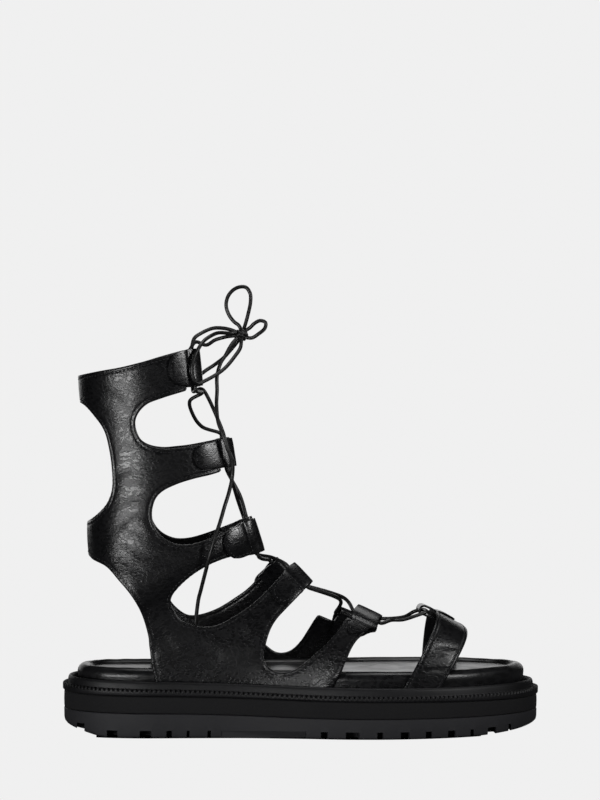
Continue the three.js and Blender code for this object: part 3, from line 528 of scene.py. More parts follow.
# %% [markdown]
# The way back is needed too: where on the last does a point of the side view lie? The lines
# from seat to ridge fan out without crossing, so halving the range of places finds the one
# through the point, and its share along that line gives the turn.

# %% From side view to last
def on_last(x, z, sign):
    """Place and turn of the last's point that shows at (x, z) from one side."""
    x, z = np.asarray(x, float), np.asarray(z, float)
    low, high = np.zeros_like(x), np.full_like(x, LAST_END)
    for _ in range(36):
        middle = (low + high) / 2
        seat_x, seat_z, ridge_x, ridge_z = section_at(middle)[:4]
        above = (ridge_x - seat_x) * (z - seat_z) - (ridge_z - seat_z) * (x - seat_x) > 0
        low, high = np.where(above, middle, low), np.where(above, high, middle)
    seat_x, seat_z, ridge_x, ridge_z, _, _, widest, _ = section_at(low)
    run, rise = ridge_x - seat_x, ridge_z - seat_z
    share = np.clip(((x - seat_x) * run + (z - seat_z) * rise) / (run ** 2 + rise ** 2), 0, 1)
    angle = np.where(share < widest, np.arccos(np.clip(1 - share / widest, -1, 1)),
                     np.arccos(np.clip((widest - share) / (1 - widest), -1, 1)))
    return low, sign * angle


def laid_on_last(points, sign, lift):
    """Points of a side view, laid on the last and lifted off it along its normals."""
    points = np.asarray(points, float)
    place, turn = on_last(points[..., 0], points[..., 1], sign)
    return last_point(place, turn) + last_normal(place, turn) * np.asarray(lift)[..., None]


print("the last's sections:", len(LAST), "from toe to shin")

# %% [markdown]
# The arms end in lace loops. Each tab below is the end of one arm in side view, with the
# length of leather that is sewn back over it, so a loop's own axes follow from the last:
# forward along the arm, across it, and out from the leg.

# %% Tabs and loop places
LACE = 2.2
LOOP_LENGTH = 10.0
LOOP_SINK = 0.3  # the loop's middle lies this far inside the last's surface
TABS = {
    "lateral": [((30.6, 75.2), (44.4, 68.8), 17.5), ((-4.7, 98.2), (5.8, 87.3), 24),
                ((-27.4, 123.1), (-21.5, 104.6), 23), ((-40.5, 169.1), (-37.9, 153.1), 25),
                ((-59.5, 219.8), (-57.4, 198.8), 20)],
    "medial": [((25.2, 69.1), (39.5, 62.8), 16), ((-12.9, 99.3), (-2.3, 88.3), 23),
               ((-27.4, 122.8), (-21.2, 104.6), 23), ((-40.5, 169.1), (-37.9, 153.1), 25),
               ((-59.5, 219.8), (-57.4, 198.8), 20)],
}
SIGN = {"lateral": -1, "medial": 1}


def unit(vector):
    return vector / np.linalg.norm(vector)


def arm_end(tab, back):
    """Forward direction, upper and lower corner set back, and width of an arm's end."""
    upper, lower = np.array(tab[0]), np.array(tab[1])
    width = lower - upper
    forward = unit(np.array([-width[1], width[0]]))
    return forward, upper - forward * back, lower - forward * back, float(np.linalg.norm(width))


def loop_place(side, number):
    sign = SIGN[side]
    forward2, upper2, lower2, _ = arm_end(TABS[side][number - 1], LOOP_LENGTH / 2)
    flat = np.array([(upper2 + lower2) / 2, upper2, lower2])
    centre, upper, lower = laid_on_last(flat, sign, np.zeros(3))
    normal = (laid_on_last(flat, sign, np.ones(3)) - laid_on_last(flat, sign, np.zeros(3)))[0]
    across = upper - lower
    width = float(np.linalg.norm(across)) - 0.8
    across = unit(across)
    normal = unit(normal - across * (normal @ across))
    forward = np.cross(across, normal)
    if forward[0] * forward2[0] + forward[2] * forward2[1] < 0:
        forward = -forward
    return {"centre": centre, "normal": normal, "across": across, "forward": forward, "width": width}


LOOPS = {side: [loop_place(side, k + 1) for k in range(5)] for side in TABS}


def mouth(side, number, end, out=0.0):
    """Just clear of a loop's upper or lower mouth, or farther out along the lace."""
    loop = LOOPS[side][number - 1]
    reach = loop["width"] / 2 + 0.6 + out
    return loop["centre"] - loop["normal"] * LOOP_SINK + loop["across"] * end * reach


print("loop widths:", [round(loop["width"], 1) for loop in LOOPS["lateral"]], "mm")

# %% [markdown]
# ## Laces
# The lace is round cord, stiff enough to hold its curves. The stretch that runs from loop to
# loop is held by them; the leads above the top loops, the bow's three loops and the two ends
# are free. Each free stretch is one open curve with a round bevel, on the same route as its
# CAD cord, and the knot is the cord wound on itself.

# %% Free cords
BOW = {
    "lace_bow_up": [
        (-36.6, 1, 233.8), (-39.2, 1.5, 235.8), (-42.4, 2, 240.2), (-43.9, 2, 245.2), (-43, 2, 250.2),
        (-40.2, 2, 254), (-36.2, 2, 256.1), (-32.4, 2, 255.9), (-30, 1.5, 252.4), (-29.8, 1, 247.4),
        (-31.2, 0.5, 240.4), (-33, 0.5, 233.8)],
    "lace_bow_small": [
        (-33.6, -2, 230.2), (-30.2, -3, 232.4), (-28, -4, 234.6), (-24.6, -4.5, 236.4),
        (-21.4, -5, 235.3), (-21.8, -5.5, 232), (-25.6, -5.5, 228.6), (-29.2, -4, 226.4),
        (-32.6, -3, 226.6)],
    "lace_bow_large": [
        (-42, -5, 229), (-48.6, -12, 229), (-53.1, -19, 227.2), (-57.6, -24, 224), (-60.8, -28.5, 219.6),
        (-62.9, -30.2, 215.3), (-64.4, -31.2, 209.9), (-64.3, -31.2, 204.5), (-62.9, -30.4, 200.6),
        (-60.3, -29, 199.7), (-57.7, -27.2, 200.9), (-53.3, -24, 203.2), (-47.7, -19.5, 206.7),
        (-44.1, -16, 209.9), (-39.5, -11, 215.4), (-36, -6.5, 220.6)],
    "lace_end_long": [
        (-40.4, -6.4, 223.4), (-42.6, -9, 220.1), (-45, -12, 215.7), (-47.8, -15.5, 211.4),
        (-49.9, -18, 204), (-49.9, -19.5, 195.8), (-50.3, -22, 187.7), (-49.4, -26, 177.5),
        (-46.6, -28.5, 170.1), (-44.4, -29, 162.9), (-41.5, -28, 155.9), (-41.4, -26.5, 147),
        (-43.3, -28, 138.2), (-45.9, -31, 130.3), (-48.7, -35.5, 121.4), (-51.9, -37.8, 111.9),
        (-54.8, -37.5, 101.8), (-56.7, -34.5, 93.7), (-59.4, -30.5, 82.2), (-60.5, -28.5, 77.5),
        (-62.1, -26, 63), (-63, -25.5, 52), (-63.4, -25.5, 43)],
    "lace_end_short": [
        (-38.6, 2.4, 222.6), (-42.9, 1, 217.6), (-45.3, 0, 215), (-50.6, -2, 210.9),
        (-55.9, -5, 207.4), (-60.6, -8, 203.6)],
}
LEADS = {
    "lateral": [(-62.9, -19.5, 225.6), (-58.7, -16.5, 228.7), (-52, -11, 231.6), (-45.6, -6, 231.8),
                (-40.6, -3, 230.8)],
    "medial": [(-61, 18, 224.5), (-55, 13, 222.6), (-49.9, 9, 225.5), (-43.5, 5.5, 227.3),
               (-41, 3.6, 227.6)],
}

# %% [markdown]
# A lace could be a swept mesh, but a curve with a round bevel keeps its diameter exact and its
# route easy to change, which suits a cord that hangs free.

# %% A cord
def cord_curve(name, points, step=1.2):
    data = bpy.data.curves.new(name, "CURVE")
    data.dimensions = "3D"
    data.bevel_depth = LACE / 2 * MM
    data.bevel_resolution = 3
    data.use_fill_caps = True
    path = smooth_path(points, step)
    spline = data.splines.new("POLY")
    spline.points.add(len(path) - 1)
    for point, place in zip(spline.points, path):
        point.co = (*in_metres(place), 1)
    spline.use_smooth = True
    data.materials.append(lace_leather)
    piece = bpy.data.objects.new(name, data)
    bpy.context.collection.objects.link(piece)
    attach(piece, "root")
    length = float(np.linalg.norm(np.diff(path, axis=0), axis=1).sum()) * MM
    return piece, length


print("free cords:", len(BOW) + len(LEADS))

# %% [markdown]
# The knot is wound, not modelled as a ball: two turns round the strands that come in and one
# across them, each a spiral of the same cord. The free ends then run on into its middle, so
# that no cord stops in the air.

# %% The knot
KNOT = np.array([-35.4, -1, 228])


def wound(axis, radius, pitch, start, end, steps=9):
    """Turns of the cord round an axis through the knot's middle."""
    axis = unit(np.array(axis, float))
    first = unit(np.cross(axis, (0, 0, 1)))
    second = np.cross(axis, first)
    turns = np.linspace(start, end, int(abs(end - start) * steps) + 1)
    middle = (start + end) / 2
    return [KNOT + axis * pitch * (t - middle) + radius * (first * math.cos(2 * math.pi * t)
                                                           + second * math.sin(2 * math.pi * t))
            for t in turns]


def make_knot():
    """The bow's knot: the cord wound twice round the strands, then once across itself."""
    path = wound((0.84, 0.1, 0.5), 2.9, 2.3, 0, 2.1) + wound((-0.35, 0.3, 0.9), 3.1, 1.2, 0.35, 1.2)
    piece, _ = cord_curve("knot_wraps", path, step=0.7)
    return stands_for(piece, "lace_leather", "lace_knot")


# Each free cord's ends go on into the middle of the knot: before its first point, after its last.
INTO_KNOT = {
    "lace_bow_up": ([(-34.8, 0.4, 230.2)], [(-34.2, 0, 230.4)]),
    "lace_bow_small": ([], []),
    "lace_bow_large": ([(-38.2, -3.4, 229.4)], [(-35.4, -4.2, 223.8), (-35.2, -3.0, 226.6)]),
    "lace_end_long": ([(-37.9, -4.2, 226)], []),
    "lace_end_short": ([(-36.4, 1.6, 225.6)], []),
    "lace_lead_lateral": ([], [(-37.6, -1.8, 229.6)]),
    "lace_lead_medial": ([], [(-37.8, 1.8, 228)]),
}

# %% [markdown]
# Each free cord is a curve of the lace's diameter on its route, and hides the CAD part that it stands for;
# the bow's cords print their lengths. The bow's loops and the leads end in the knot; the two lace ends are
# bare.

# %% Leads, bow and ends
def make_cords():
    knot = make_knot()
    for side in ("lateral", "medial"):
        name = f"lace_lead_{side}"
        start = mouth(side, 5, 1)
        piece, length = cord_curve(f"{name}_cord", [tuple(start)] + LEADS[side] + INTO_KNOT[name][1])
        stands_for(piece, "lace_leather", name)
    for name, points in BOW.items():
        before, after = INTO_KNOT[name]
        piece, length = cord_curve(f"{name}_cord", before + points + after)
        stands_for(piece, "lace_leather", name)
        print(f"{name}: {length * 1000:.0f} mm")


make_cords()

# %% [markdown]
# ## Outsole
# The lugs are what the side view shows: blocks between alternating wide and narrow gaps, an
# arch gap, a bevelled heel and a sprung toe. One way is to model every lug; here the slice is
# made whole and a joined cutter takes the gaps out, which keeps the blocks' sides true.

# %% Outsole
LUG_HEIGHT, LUG_DEPTH = 4.3, 13.0
LUG_GAPS = [(-129, -124.7), (-112, -106), (-93.6, -87), (-78.6, -75.5), (-67.3, -65.6),
            (-55.6, -53.6), (7.7, 11.6), (21.5, 29.1), (39, 42.4), (52.3, 57.3), (66.6, 70.3),
            (79.6, 84.1), (93.1, 95.2), (103.8, 109), (117.1, 118.8)]
ARCH_GAP = (-48, -0.4)
ARCH_DEPTH = 4.0


def underside(x):
    heel = min(max((-113 - x) / 24.5, 0), 1)
    toe = min(max((x - 92) / 48, 0), 1)
    return 6.2 * heel ** 1.25 + 3.8 * toe ** 2


def box_points(x0, x1, y0, y1, z0, z1):
    return [(x, y, z) for x in (x0, x1) for y in (y0, y1) for z in (z0, z1)]


BOX_FACES = [(0, 1, 3, 2), (4, 6, 7, 5), (0, 4, 5, 1), (2, 3, 7, 6), (0, 2, 6, 4), (1, 5, 7, 3)]


def cutter_of(boxes):
    points, faces = [], []
    for box in boxes:
        base = len(points)
        points += box_points(*box)
        faces += [tuple(base + k for k in face) for face in BOX_FACES]
    mesh = bpy.data.meshes.new("cutter")
    mesh.from_pydata([in_metres(p) for p in points], [], faces)
    work = bmesh.new()
    work.from_mesh(mesh)
    bmesh.ops.recalc_face_normals(work, faces=work.faces)
    work.to_mesh(mesh)
    work.free()
    return bpy.data.objects.new("cutter", mesh)


def cut_and_apply(piece, cutter):
    bpy.context.collection.objects.link(cutter)
    cut = piece.modifiers.new("gaps", "BOOLEAN")
    cut.operation = "DIFFERENCE"
    cut.solver = "EXACT"
    cut.use_self = True
    cut.object = cutter
    graph = bpy.context.evaluated_depsgraph_get()
    result = bpy.data.meshes.new_from_object(piece.evaluated_get(graph))
    piece.modifiers.clear()
    piece.data = result
    bpy.data.objects.remove(cutter)

# %% [markdown]
# The slice's rings follow the ground line, which rises at the heel's bevel and at the toe. A
# shallow channel between each pair of gaps carries the tread across the middle.

# %% The tread
def make_outsole():
    outline = outline_points(240)
    rings = [inset(outline, 3.4, underside),
             inset(outline, 2.1, lambda x: underside(x) + 0.25),
             inset(outline, 1.3, lambda x: underside(x) + 1.0),
             inset(outline, 0.9, lambda x: underside(x) + 2.6)]
    rings += [inset(outline, 0.8, raised("outsole", -1.0)), inset(outline, 0.85, raised("outsole", -0.35)),
              inset(outline, 1.2, raised("outsole", 0))]
    piece = body_of_rings("outsole_tread", rings, outsole_rubber)
    boxes = []
    for low, high in [ARCH_GAP] + LUG_GAPS:
        middle = (low + high) / 2
        top = underside(middle) + LUG_HEIGHT
        depth = ARCH_DEPTH if high - low > 20 else LUG_DEPTH
        boxes.append((low, high, -80, -(half_width(middle, "lateral") - depth), -5, top))
        boxes.append((low, high, half_width(middle, "medial") - depth, 80, -5, top))
    tread_depth = 2.2
    for low, high in LUG_GAPS:
        middle = (low + high) / 2
        inner = half_width(middle, "lateral") - LUG_DEPTH - 3.5
        outer = half_width(middle, "medial") - LUG_DEPTH - 3.5
        if inner > 8:
            boxes.append((middle - 1.2, middle + 1.2, -inner, outer, -5, underside(middle) + tread_depth))
    cut_and_apply(piece, cutter_of(boxes))
    piece.data.shade_smooth()
    piece.data.set_sharp_from_angle(angle=math.radians(30))
    return stands_for(piece, "outsole_rubber", "outsole")


make_outsole()

# %% [markdown]
# ## Midsole and welt
# The midsole is a plain foam band. The welt on it is what gives this sole its look: an outer
# rand whose top edge is notched all the way round, a groove, and a smooth raised bead. Its
# section is swept round the outline with enough points for every notch.

# %% Midsole
def make_midsole():
    outline = outline_points(300)
    low, high = "outsole", "midsole"
    rings = [inset(outline, 1.5, raised(low, 0.25)), inset(outline, 1.0, raised(low, 0.5)),
             inset(outline, 0.85, raised(low, 1.2)), inset(outline, 0.75, raised(low, 4.5)),
             inset(outline, 0.85, raised(high, -1.0)), inset(outline, 1.1, raised(high, -0.35)),
             inset(outline, 1.7, raised(high, 0))]
    piece = body_of_rings("midsole_band", rings, midsole_foam)
    return stands_for(piece, "midsole_foam", "midsole")


make_midsole()

# %% [markdown]
# The welt's notches slant like the strands of a rope. They could be a displacement or a
# Boolean with some 250 cutters; here the ring points inside each notch are simply
# lower, a little further round on each ring, which costs nothing and stays closed.

# %% Welt
NOTCH_PITCH = 2.7
NOTCH_SHARE = 0.40
NOTCH_DEPTH = 1.4
POINTS_PER_NOTCH = 8


def make_welt():
    path = outline_points(400)
    length = float(np.linalg.norm(np.diff(np.vstack([path, path[:1]]), axis=0), axis=1).sum())
    notches = int(round(length / NOTCH_PITCH))
    outline = outline_points(notches * POINTS_PER_NOTCH)
    count = len(outline)
    phase = (np.arange(count) / POINTS_PER_NOTCH) % 1.0

    def ring(distance, name, rise, skew=None):
        """One ring of the section, lowered inside each slanting notch if it has a skew."""
        made = inset(outline, distance, raised(name, rise))
        if skew is None:
            return made
        drops = np.where((phase + skew) % 1.0 < NOTCH_SHARE, NOTCH_DEPTH, 0)
        return [(x, y, z - drop) for (x, y, z), drop in zip(made, drops)]

    rings = [
        ring(8.0, "midsole", 0.3), ring(0.8, "midsole", 0.3), ring(0.3, "midsole", 0.5),
        ring(0.05, "midsole", 1.0), ring(0.0, "rand", -1.6), ring(0.0, "rand", -1.0, 0.0),
        ring(0.1, "rand", -0.35, 0.0), ring(0.5, "rand", -0.02, 0.12), ring(1.2, "rand", 0.02, 0.25),
        ring(1.9, "rand", 0.0, 0.38), ring(2.25, "rand", -0.3, 0.44), ring(2.5, "rand", -1.1),
        ring(2.8, "rand", -0.7), ring(2.95, "rand", 0.4), ring(3.1, "bead", -1.7), ring(3.4, "bead", -0.7),
        ring(3.9, "bead", -0.12), ring(4.3, "bead", 0.0), ring(4.7, "bead", -0.15), ring(5.1, "bead", -0.7),
        ring(5.25, "bead", -1.5), ring(5.3, "midsole", 2.4), ring(8.0, "midsole", 2.4)]
    piece = body_of_rings("storm_welt", rings, welt_rubber, looped=True, sharp=50)
    print("notches round the rand:", notches)
    return stands_for(piece, "welt_rubber", "welt")


make_welt()

# %% [markdown]
# ## Footbed and insole
# The footbed is padded and wrapped in leather, so its rim stands up like a soft tube with
# small puckers where the leather turns round the heel and toe. The insole lies a little lower
# inside it and is almost flat, with a shallow dish for the heel and the ball.

# %% Footbed
def pucker(x, y, z):
    """Soft unevenness of stuffed leather, in millimetres."""
    slow = noise.noise(Vector((x * 0.03, y * 0.03, z * 0.05)))
    quick = noise.noise(Vector((x * 0.16, y * 0.16, z * 0.10 + 7)))
    ends = min(abs(x) / 110, 1.0) ** 3
    return 0.22 * slow + (0.06 + 0.12 * ends) * quick


def make_footbed():
    outline = outline_points(420)
    section = [(9.8, "midsole", 0.3), (9.0, "midsole", 2.6), (8.8, "bead", -3.0), (8.75, "bead", -1.0),
               (8.6, "rim", -6.5), (8.45, "rim", -5.2), (8.5, "rim", -4.0), (8.8, "rim", -2.8),
               (9.4, "rim", -1.7), (10.3, "rim", -0.8), (11.4, "rim", -0.25), (12.6, "rim", 0.0),
               (13.8, "rim", -0.15), (14.9, "rim", -0.65), (15.8, "rim", -1.4), (16.4, "rim", -2.3),
               (16.8, "rim", -3.3)]
    rings = []
    for distance, name, rise in section:
        ring = inset(outline, distance, raised(name, rise))
        if name == "rim" and rise > -6:
            ring = [(x, y, z + pucker(x, y, z)) for x, y, z in ring]
        rings.append(ring)
    piece = body_of_rings("footbed_rim", rings, footbed_leather, sharp=60)
    return stands_for(piece, "footbed_leather", "footbed")


make_footbed()

# %% [markdown]
# The sock is a thin sheet glued into the recess. A flat face would reflect the room like a
# board, so its middle is a grid of shrinking rings with a heel cup, a ball dish and a slow
# wave of a tenth of a millimetre.

# %% Insole
def insole_height(x, y):
    """The sock's surface: a heel cup and a ball dish, each a few tenths deep."""
    heel = math.exp(-((x + 88) / 30) ** 2 - (y / 18) ** 2)
    ball = math.exp(-((x - 58) / 34) ** 2 - (y / 28) ** 2)
    wave = noise.noise(Vector((x * 0.02, y * 0.02, 3.3)))
    return level(x, "rim") - 1.95 - 0.5 * heel - 0.4 * ball + 0.12 * wave


def make_insole():
    outline = outline_points(240)
    points, rows = [], []
    edge, middle_share = 17.1, (1.0, 0.985, 0.96, 0.9, 0.8, 0.68, 0.54, 0.4, 0.26, 0.13)
    base = np.array([p[:2] for p in inset(outline, edge, lambda x: 0)])
    spine = np.stack([np.clip(base[:, 0], -86, 84), np.zeros(len(base))], axis=1)
    spine[:, 1] = np.interp(spine[:, 0], (-86, 0, 60, 84), (0, 0, 1.5, 4))
    drop = {1.0: 0.75, 0.985: 0.22}
    for share in middle_share:
        ring = spine + (base - spine) * share
        points += [(x, y, insole_height(x, y) - drop.get(share, 0)) for x, y in ring]
        rows.append(len(ring))
    count = rows[0]
    faces = ring_faces(len(rows), count, False, caps=False)
    last = (len(rows) - 1) * count
    for k in range(count // 2):
        quad = [last + k, last + k + 1, last + (count - k - 1) % count, last + (count - k) % count]
        face = tuple(dict.fromkeys(quad))
        if len(face) > 2:
            faces.append(face)
    under = len(points)
    points += [(x, y, level(x, "rim") - 3.3) for x, y in base]
    for k in range(count):
        nxt = (k + 1) % count
        faces.append((k, nxt, under + nxt, under + k))
    faces.append(tuple(under + k for k in range(count)))
    piece = add_mesh("insole_sock", points, faces, insole_leather, sharp=60)
    return stands_for(piece, "insole_leather", "insole")


make_insole()

# %% [markdown]
# ## The upper's pattern
# The upper is cut as two comb-shaped panels of lined leather that share the strip behind the
# leg: five arms on each side with rounded gaps between them, and one window at the back. The
# pattern is drawn in side view, one smooth line between each pair of corners, and every line
# stops where an arm's own leather ends under its loop.

# %% Pattern lines
SPINE_TOP = [(-140, 189), (-127.6, 189), (-118, 179.6), (-113.5, 172.5), (-111, 163.3), (-109.4, 152.8),
             (-109, 141), (-110.7, 133), (-114.2, 127), (-123.6, 120), (-140, 119)]
SPINE_FOOT = [(-84.6, 29.2), (-85, 32.6), (-87.2, 44.3), (-88.2, 54.5), (-90.8, 65), (-94, 73),
              (-99.2, 81.4), (-105.7, 89), (-112.2, 96), (-119.5, 99.4), (-122.7, 101.5), (-140, 102)]
COLLAR = [(-140, 202), (-117.5, 206.3), (-105.7, 208.3), (-92.7, 211.5), (-79.6, 215.5), (-64.2, 219.5)]
CUT_AFTER_TAB_5 = [(-71.5, 194.6), (-82.2, 191.2), (-90, 188), (-94.6, 183.4), (-96.6, 178.5),
                   (-95.9, 172.6), (-92.7, 166.9), (-87.5, 163.9), (-79.6, 162.6), (-71.6, 163.2),
                   (-63.6, 164.2)]
CUT_AFTER_TAB_4 = [(-53, 148.3), (-63.8, 145.8), (-73, 142.9), (-81, 139), (-84.9, 135), (-87, 128.5),
                   (-86.8, 122.6), (-84.2, 116.4), (-79.7, 111.8), (-73, 108.9), (-65.4, 108.8),
                   (-56, 111.2)]
CUT_AFTER_TAB_3 = [(-42.5, 101.5), (-51.7, 98.6), (-57.3, 96), (-63.9, 92), (-70.5, 86.5),
                   (-75.2, 80.8), (-76.5, 76.3), (-74.5, 71), (-70.7, 66), (-64.2, 63), (-56.5, 61.8),
                   (-48.7, 63), (-40.9, 67), (-32.9, 71.8), (-24.6, 78.4)]
MEDIAL_CUT_AFTER_TAB_3 = CUT_AFTER_TAB_3[:8] + [(-65.8, 63.9), (-59, 63.6), (-48, 67.2), (-37.3, 73.8),
                                                (-29, 80.2)]
CUT_AFTER_TAB_2 = [(-10.7, 71.8), (-16.3, 66), (-19.7, 60.6), (-22.5, 52.4), (-23.5, 44), (-20.7, 39),
                   (-14.7, 36.4), (-7.8, 37.3), (-1.7, 41), (5.5, 47), (12, 52.6), (19, 60.4)]
MEDIAL_CUT_AFTER_TAB_2 = [(-15, 71), (-20, 65), (-22.5, 58), (-22.5, 50), (-17, 44), (-12.4, 41),
                          (-7.5, 40.5), (-2.5, 42.3), (2.5, 47.2), (6.8, 54), (11.2, 61.4),
                          (16.4, 66.8)]
FRONT_EDGE = [(35, 60), (29, 55.2), (25.5, 50.5), (22, 43.2), (18.8, 36), (15.3, 29.8), (14, 25.5)]
MEDIAL_FRONT_EDGE = [(32, 55), (27, 50), (22.5, 43.5), (18, 36), (15.3, 29.8), (14, 25.5)]
ARM_END = LOOP_LENGTH + 0.6

# %% [markdown]
# The lines run to the arms' corners, but under a loop the arm's own leather is cut short, so
# that arm and fold don't fill the same place. Then the lines join into one outline for each
# side, with short straight cuts across the arms' ends.

# %% The panels
def cut_at(path, tab, end):
    """Drops an end of a path beyond the line where an arm's own leather stops."""
    forward, corner, _, _ = arm_end(tab, ARM_END)
    if end:
        path = path[::-1]
    beyond = (path - corner) @ forward
    first = int(np.argmax(beyond <= 0))
    if first:
        share = beyond[first - 1] / (beyond[first - 1] - beyond[first])
        path = np.vstack([path[first - 1] + (path[first] - path[first - 1]) * share, path[first:]])
    return path[::-1] if end else path


def panel_lines(side):
    """One panel's outline in side view, from behind the collar to below the lower bridge."""
    one, two, three, four, five = TABS[side]
    lateral = side == "lateral"
    gaps = [
        (five, CUT_AFTER_TAB_5, four), (four, CUT_AFTER_TAB_4, three),
        (three, CUT_AFTER_TAB_3 if lateral else MEDIAL_CUT_AFTER_TAB_3, two),
        (two, CUT_AFTER_TAB_2 if lateral else MEDIAL_CUT_AFTER_TAB_2, one)]
    lines = [cut_at(smooth_path(COLLAR + [five[0]], 0.4), five, True)]
    for above, cut, below in gaps:
        line = smooth_path([above[1]] + cut + [below[0]], 0.4)
        lines.append(cut_at(cut_at(line, above, False), below, True))
    front = FRONT_EDGE if lateral else MEDIAL_FRONT_EDGE
    lines.append(cut_at(smooth_path([one[1]] + front, 0.4), one, False))
    lines.append(smooth_path(SPINE_FOOT, 0.4))
    joined = [lines[0]]
    for line in lines[1:]:
        gap = np.linalg.norm(line[0] - joined[-1][-1])
        steps = max(2, int(gap / 0.5))
        joined.append(np.linspace(joined[-1][-1], line[0], steps + 1)[1:-1])
        joined.append(line)
    return np.vstack(joined)

# %% [markdown]
# A pattern in side view folds over at the spine, where the last turns away. A chart that
# counts millimetres round the leg and along it has no such fold, so both panels lie in it side
# by side and the strip behind the leg comes out whole.

# %% The chart
# A flat chart of the last: millimetres round a section, and millimetres from row to row.
AROUND, ALONG = 35.0, 20.0


def charted(line, side):
    """Chart points of a side-view line, stopping at the middle line behind the leg."""
    place, turn = on_last(line[:, 0], line[:, 1], SIGN[side])
    return np.stack([turn * AROUND, place * ALONG], axis=1)


def uncharted(chart):
    return chart[:, 1] / ALONG, chart[:, 0] / AROUND


def spaced_on_last(chart, step, closed=True):
    """Chart points spaced evenly by their real distance on the last."""
    ring = np.vstack([chart, chart[:1]]) if closed else chart
    real = last_point(*uncharted(ring))
    run = np.concatenate([[0], np.cumsum(np.linalg.norm(np.diff(real, axis=0), axis=1))])
    at = np.linspace(0, run[-1], max(3, int(round(run[-1] / step))) + 1)
    if closed:
        at = at[:-1]
    return np.stack([np.interp(at, run, ring[:, c]) for c in (0, 1)], axis=1)


def edge_loops(step):
    sides = {}
    for side in TABS:
        outer = charted(panel_lines(side), side)
        flat = np.abs(outer[:, 0]) < 1e-6
        start = int(np.argmin(flat))
        stop = len(outer) - int(np.argmin(flat[::-1]))
        window = charted(smooth_path(SPINE_TOP, 0.4), side)
        seen = np.abs(window[:, 0]) > 1e-6
        window = window[int(np.argmax(seen)) - 1:len(window) - int(np.argmax(seen[::-1])) + 1]
        sides[side] = outer[start - 1:stop + 1], window
    outer = np.vstack([sides["lateral"][0], sides["medial"][0][::-1]])
    window = np.vstack([sides["lateral"][1], sides["medial"][1][::-1]])
    return [spaced_on_last(outer, step), spaced_on_last(window, step)]


upper_edges = edge_loops(1.5)
print("points on the upper's edges:", [len(loop) for loop in upper_edges])

# %% [markdown]
# The panels are meshed on that chart: rows of points close to every edge, where the leather
# rounds over and the thread pulls it down, and a wider grid between them, joined by a
# Delaunay triangulation that keeps the edges. The same points then make the outside and the
# lining, two millimetres apart, with a rounded cut edge between them.

# %% Rows along the edges
def inside(points, loops):
    """Which chart points lie in the outer loop and not in a window."""
    count = np.zeros(len(points), int)
    for loop in loops:
        x0, y0 = loop[:, 0], loop[:, 1]
        x1, y1 = np.roll(x0, -1), np.roll(y0, -1)
        for start in range(0, len(points), 2000):
            px, py = points[start:start + 2000, :1], points[start:start + 2000, 1:]
            spans = (y0 > py) != (y1 > py)
            rise = np.where(np.abs(y1 - y0) < 1e-12, 1e-12, y1 - y0)
            count[start:start + 2000] += (spans & (px < x0 + (py - y0) * (x1 - x0) / rise)).sum(axis=1)
    return count % 2 == 1


def tree_of(points):
    tree = kdtree.KDTree(len(points))
    for k, point in enumerate(points):
        tree.insert(point, k)
    tree.balance()
    return tree


edge_tree = tree_of(np.vstack([last_point(*uncharted(spaced_on_last(loop, 0.6))) for loop in upper_edges]))


def edge_distance(chart):
    return np.array([edge_tree.find(point)[2] for point in last_point(*uncharted(chart))])


def row_inside(loop, distance):
    """A loop's points moved inwards by a real distance on the last, corners left out."""
    place, turn = uncharted(loop)
    real = last_point(place, turn)
    along, around = last_slopes(place, turn)
    normal = np.cross(along, around)
    normal /= np.linalg.norm(normal, axis=1)[:, None]
    tangent = np.roll(real, -2, axis=0) - np.roll(real, 2, axis=0)
    inward = np.cross(normal, tangent)
    inward /= np.linalg.norm(inward, axis=1)[:, None]
    per_u, per_v = around / AROUND, along / ALONG

    def chart_step(vector):
        uu, vv, uv = ((a * b).sum(1) for a, b in ((per_u, per_u), (per_v, per_v), (per_u, per_v)))
        wu, wv = (vector * per_u).sum(1), (vector * per_v).sum(1)
        det = uu * vv - uv ** 2
        return np.stack([(vv * wu - uv * wv) / det, (uu * wv - uv * wu) / det], axis=1)

    step = chart_step(inward)
    if inside(loop + step * 0.5, upper_edges).mean() < 0.5:
        step = -step
    moved = loop + step * distance
    kept = inside(moved, upper_edges) & (edge_distance(moved) > 0.86 * distance)
    return moved[kept]

# %% [markdown]
# The first rows stand close to the edges, at the distances where the leather's edge rounds
# over, dips for the thread and swells again. Beyond them a wider grid is enough, because the
# last itself bends slowly.

# %% Points for the panels
ROW_DISTANCES = (0.45, 1.0, 1.55, 1.95, 2.35, 2.9, 4.2)
rows = [row_inside(loop, distance) for distance in ROW_DISTANCES for loop in upper_edges]
print("points in the rows:", sum(len(row) for row in rows))


def field_points(step):
    """The wider grid: evenly spaced points round many sections, clear of the edge rows."""
    found = []
    for place in np.arange(0.5, LAST_END, 0.085):
        turns = np.linspace(-math.pi * 0.97, math.pi * 0.97, 240)
        chart = np.stack([turns * AROUND, np.full(240, place) * ALONG], axis=1)
        found.append(spaced_on_last(chart, step, closed=False))
    chart = np.vstack(found)
    chart = chart[inside(chart, upper_edges)]
    return chart[edge_distance(chart) > 5.6]


field = field_points(2.8)
print("points in the field:", len(field))

# %% [markdown]
# The panels' heights are worked out from the distance to the nearest edge, and the main
# creases are placed where the leather bends: at the roots of the arms, at the ankle and over the seat.
# A cloth simulation would fold it too, but not where a worn-in pattern
# does.

# %% Mesh of the upper
LONGEST_EDGE = 11.0  # no triangle may reach across a window
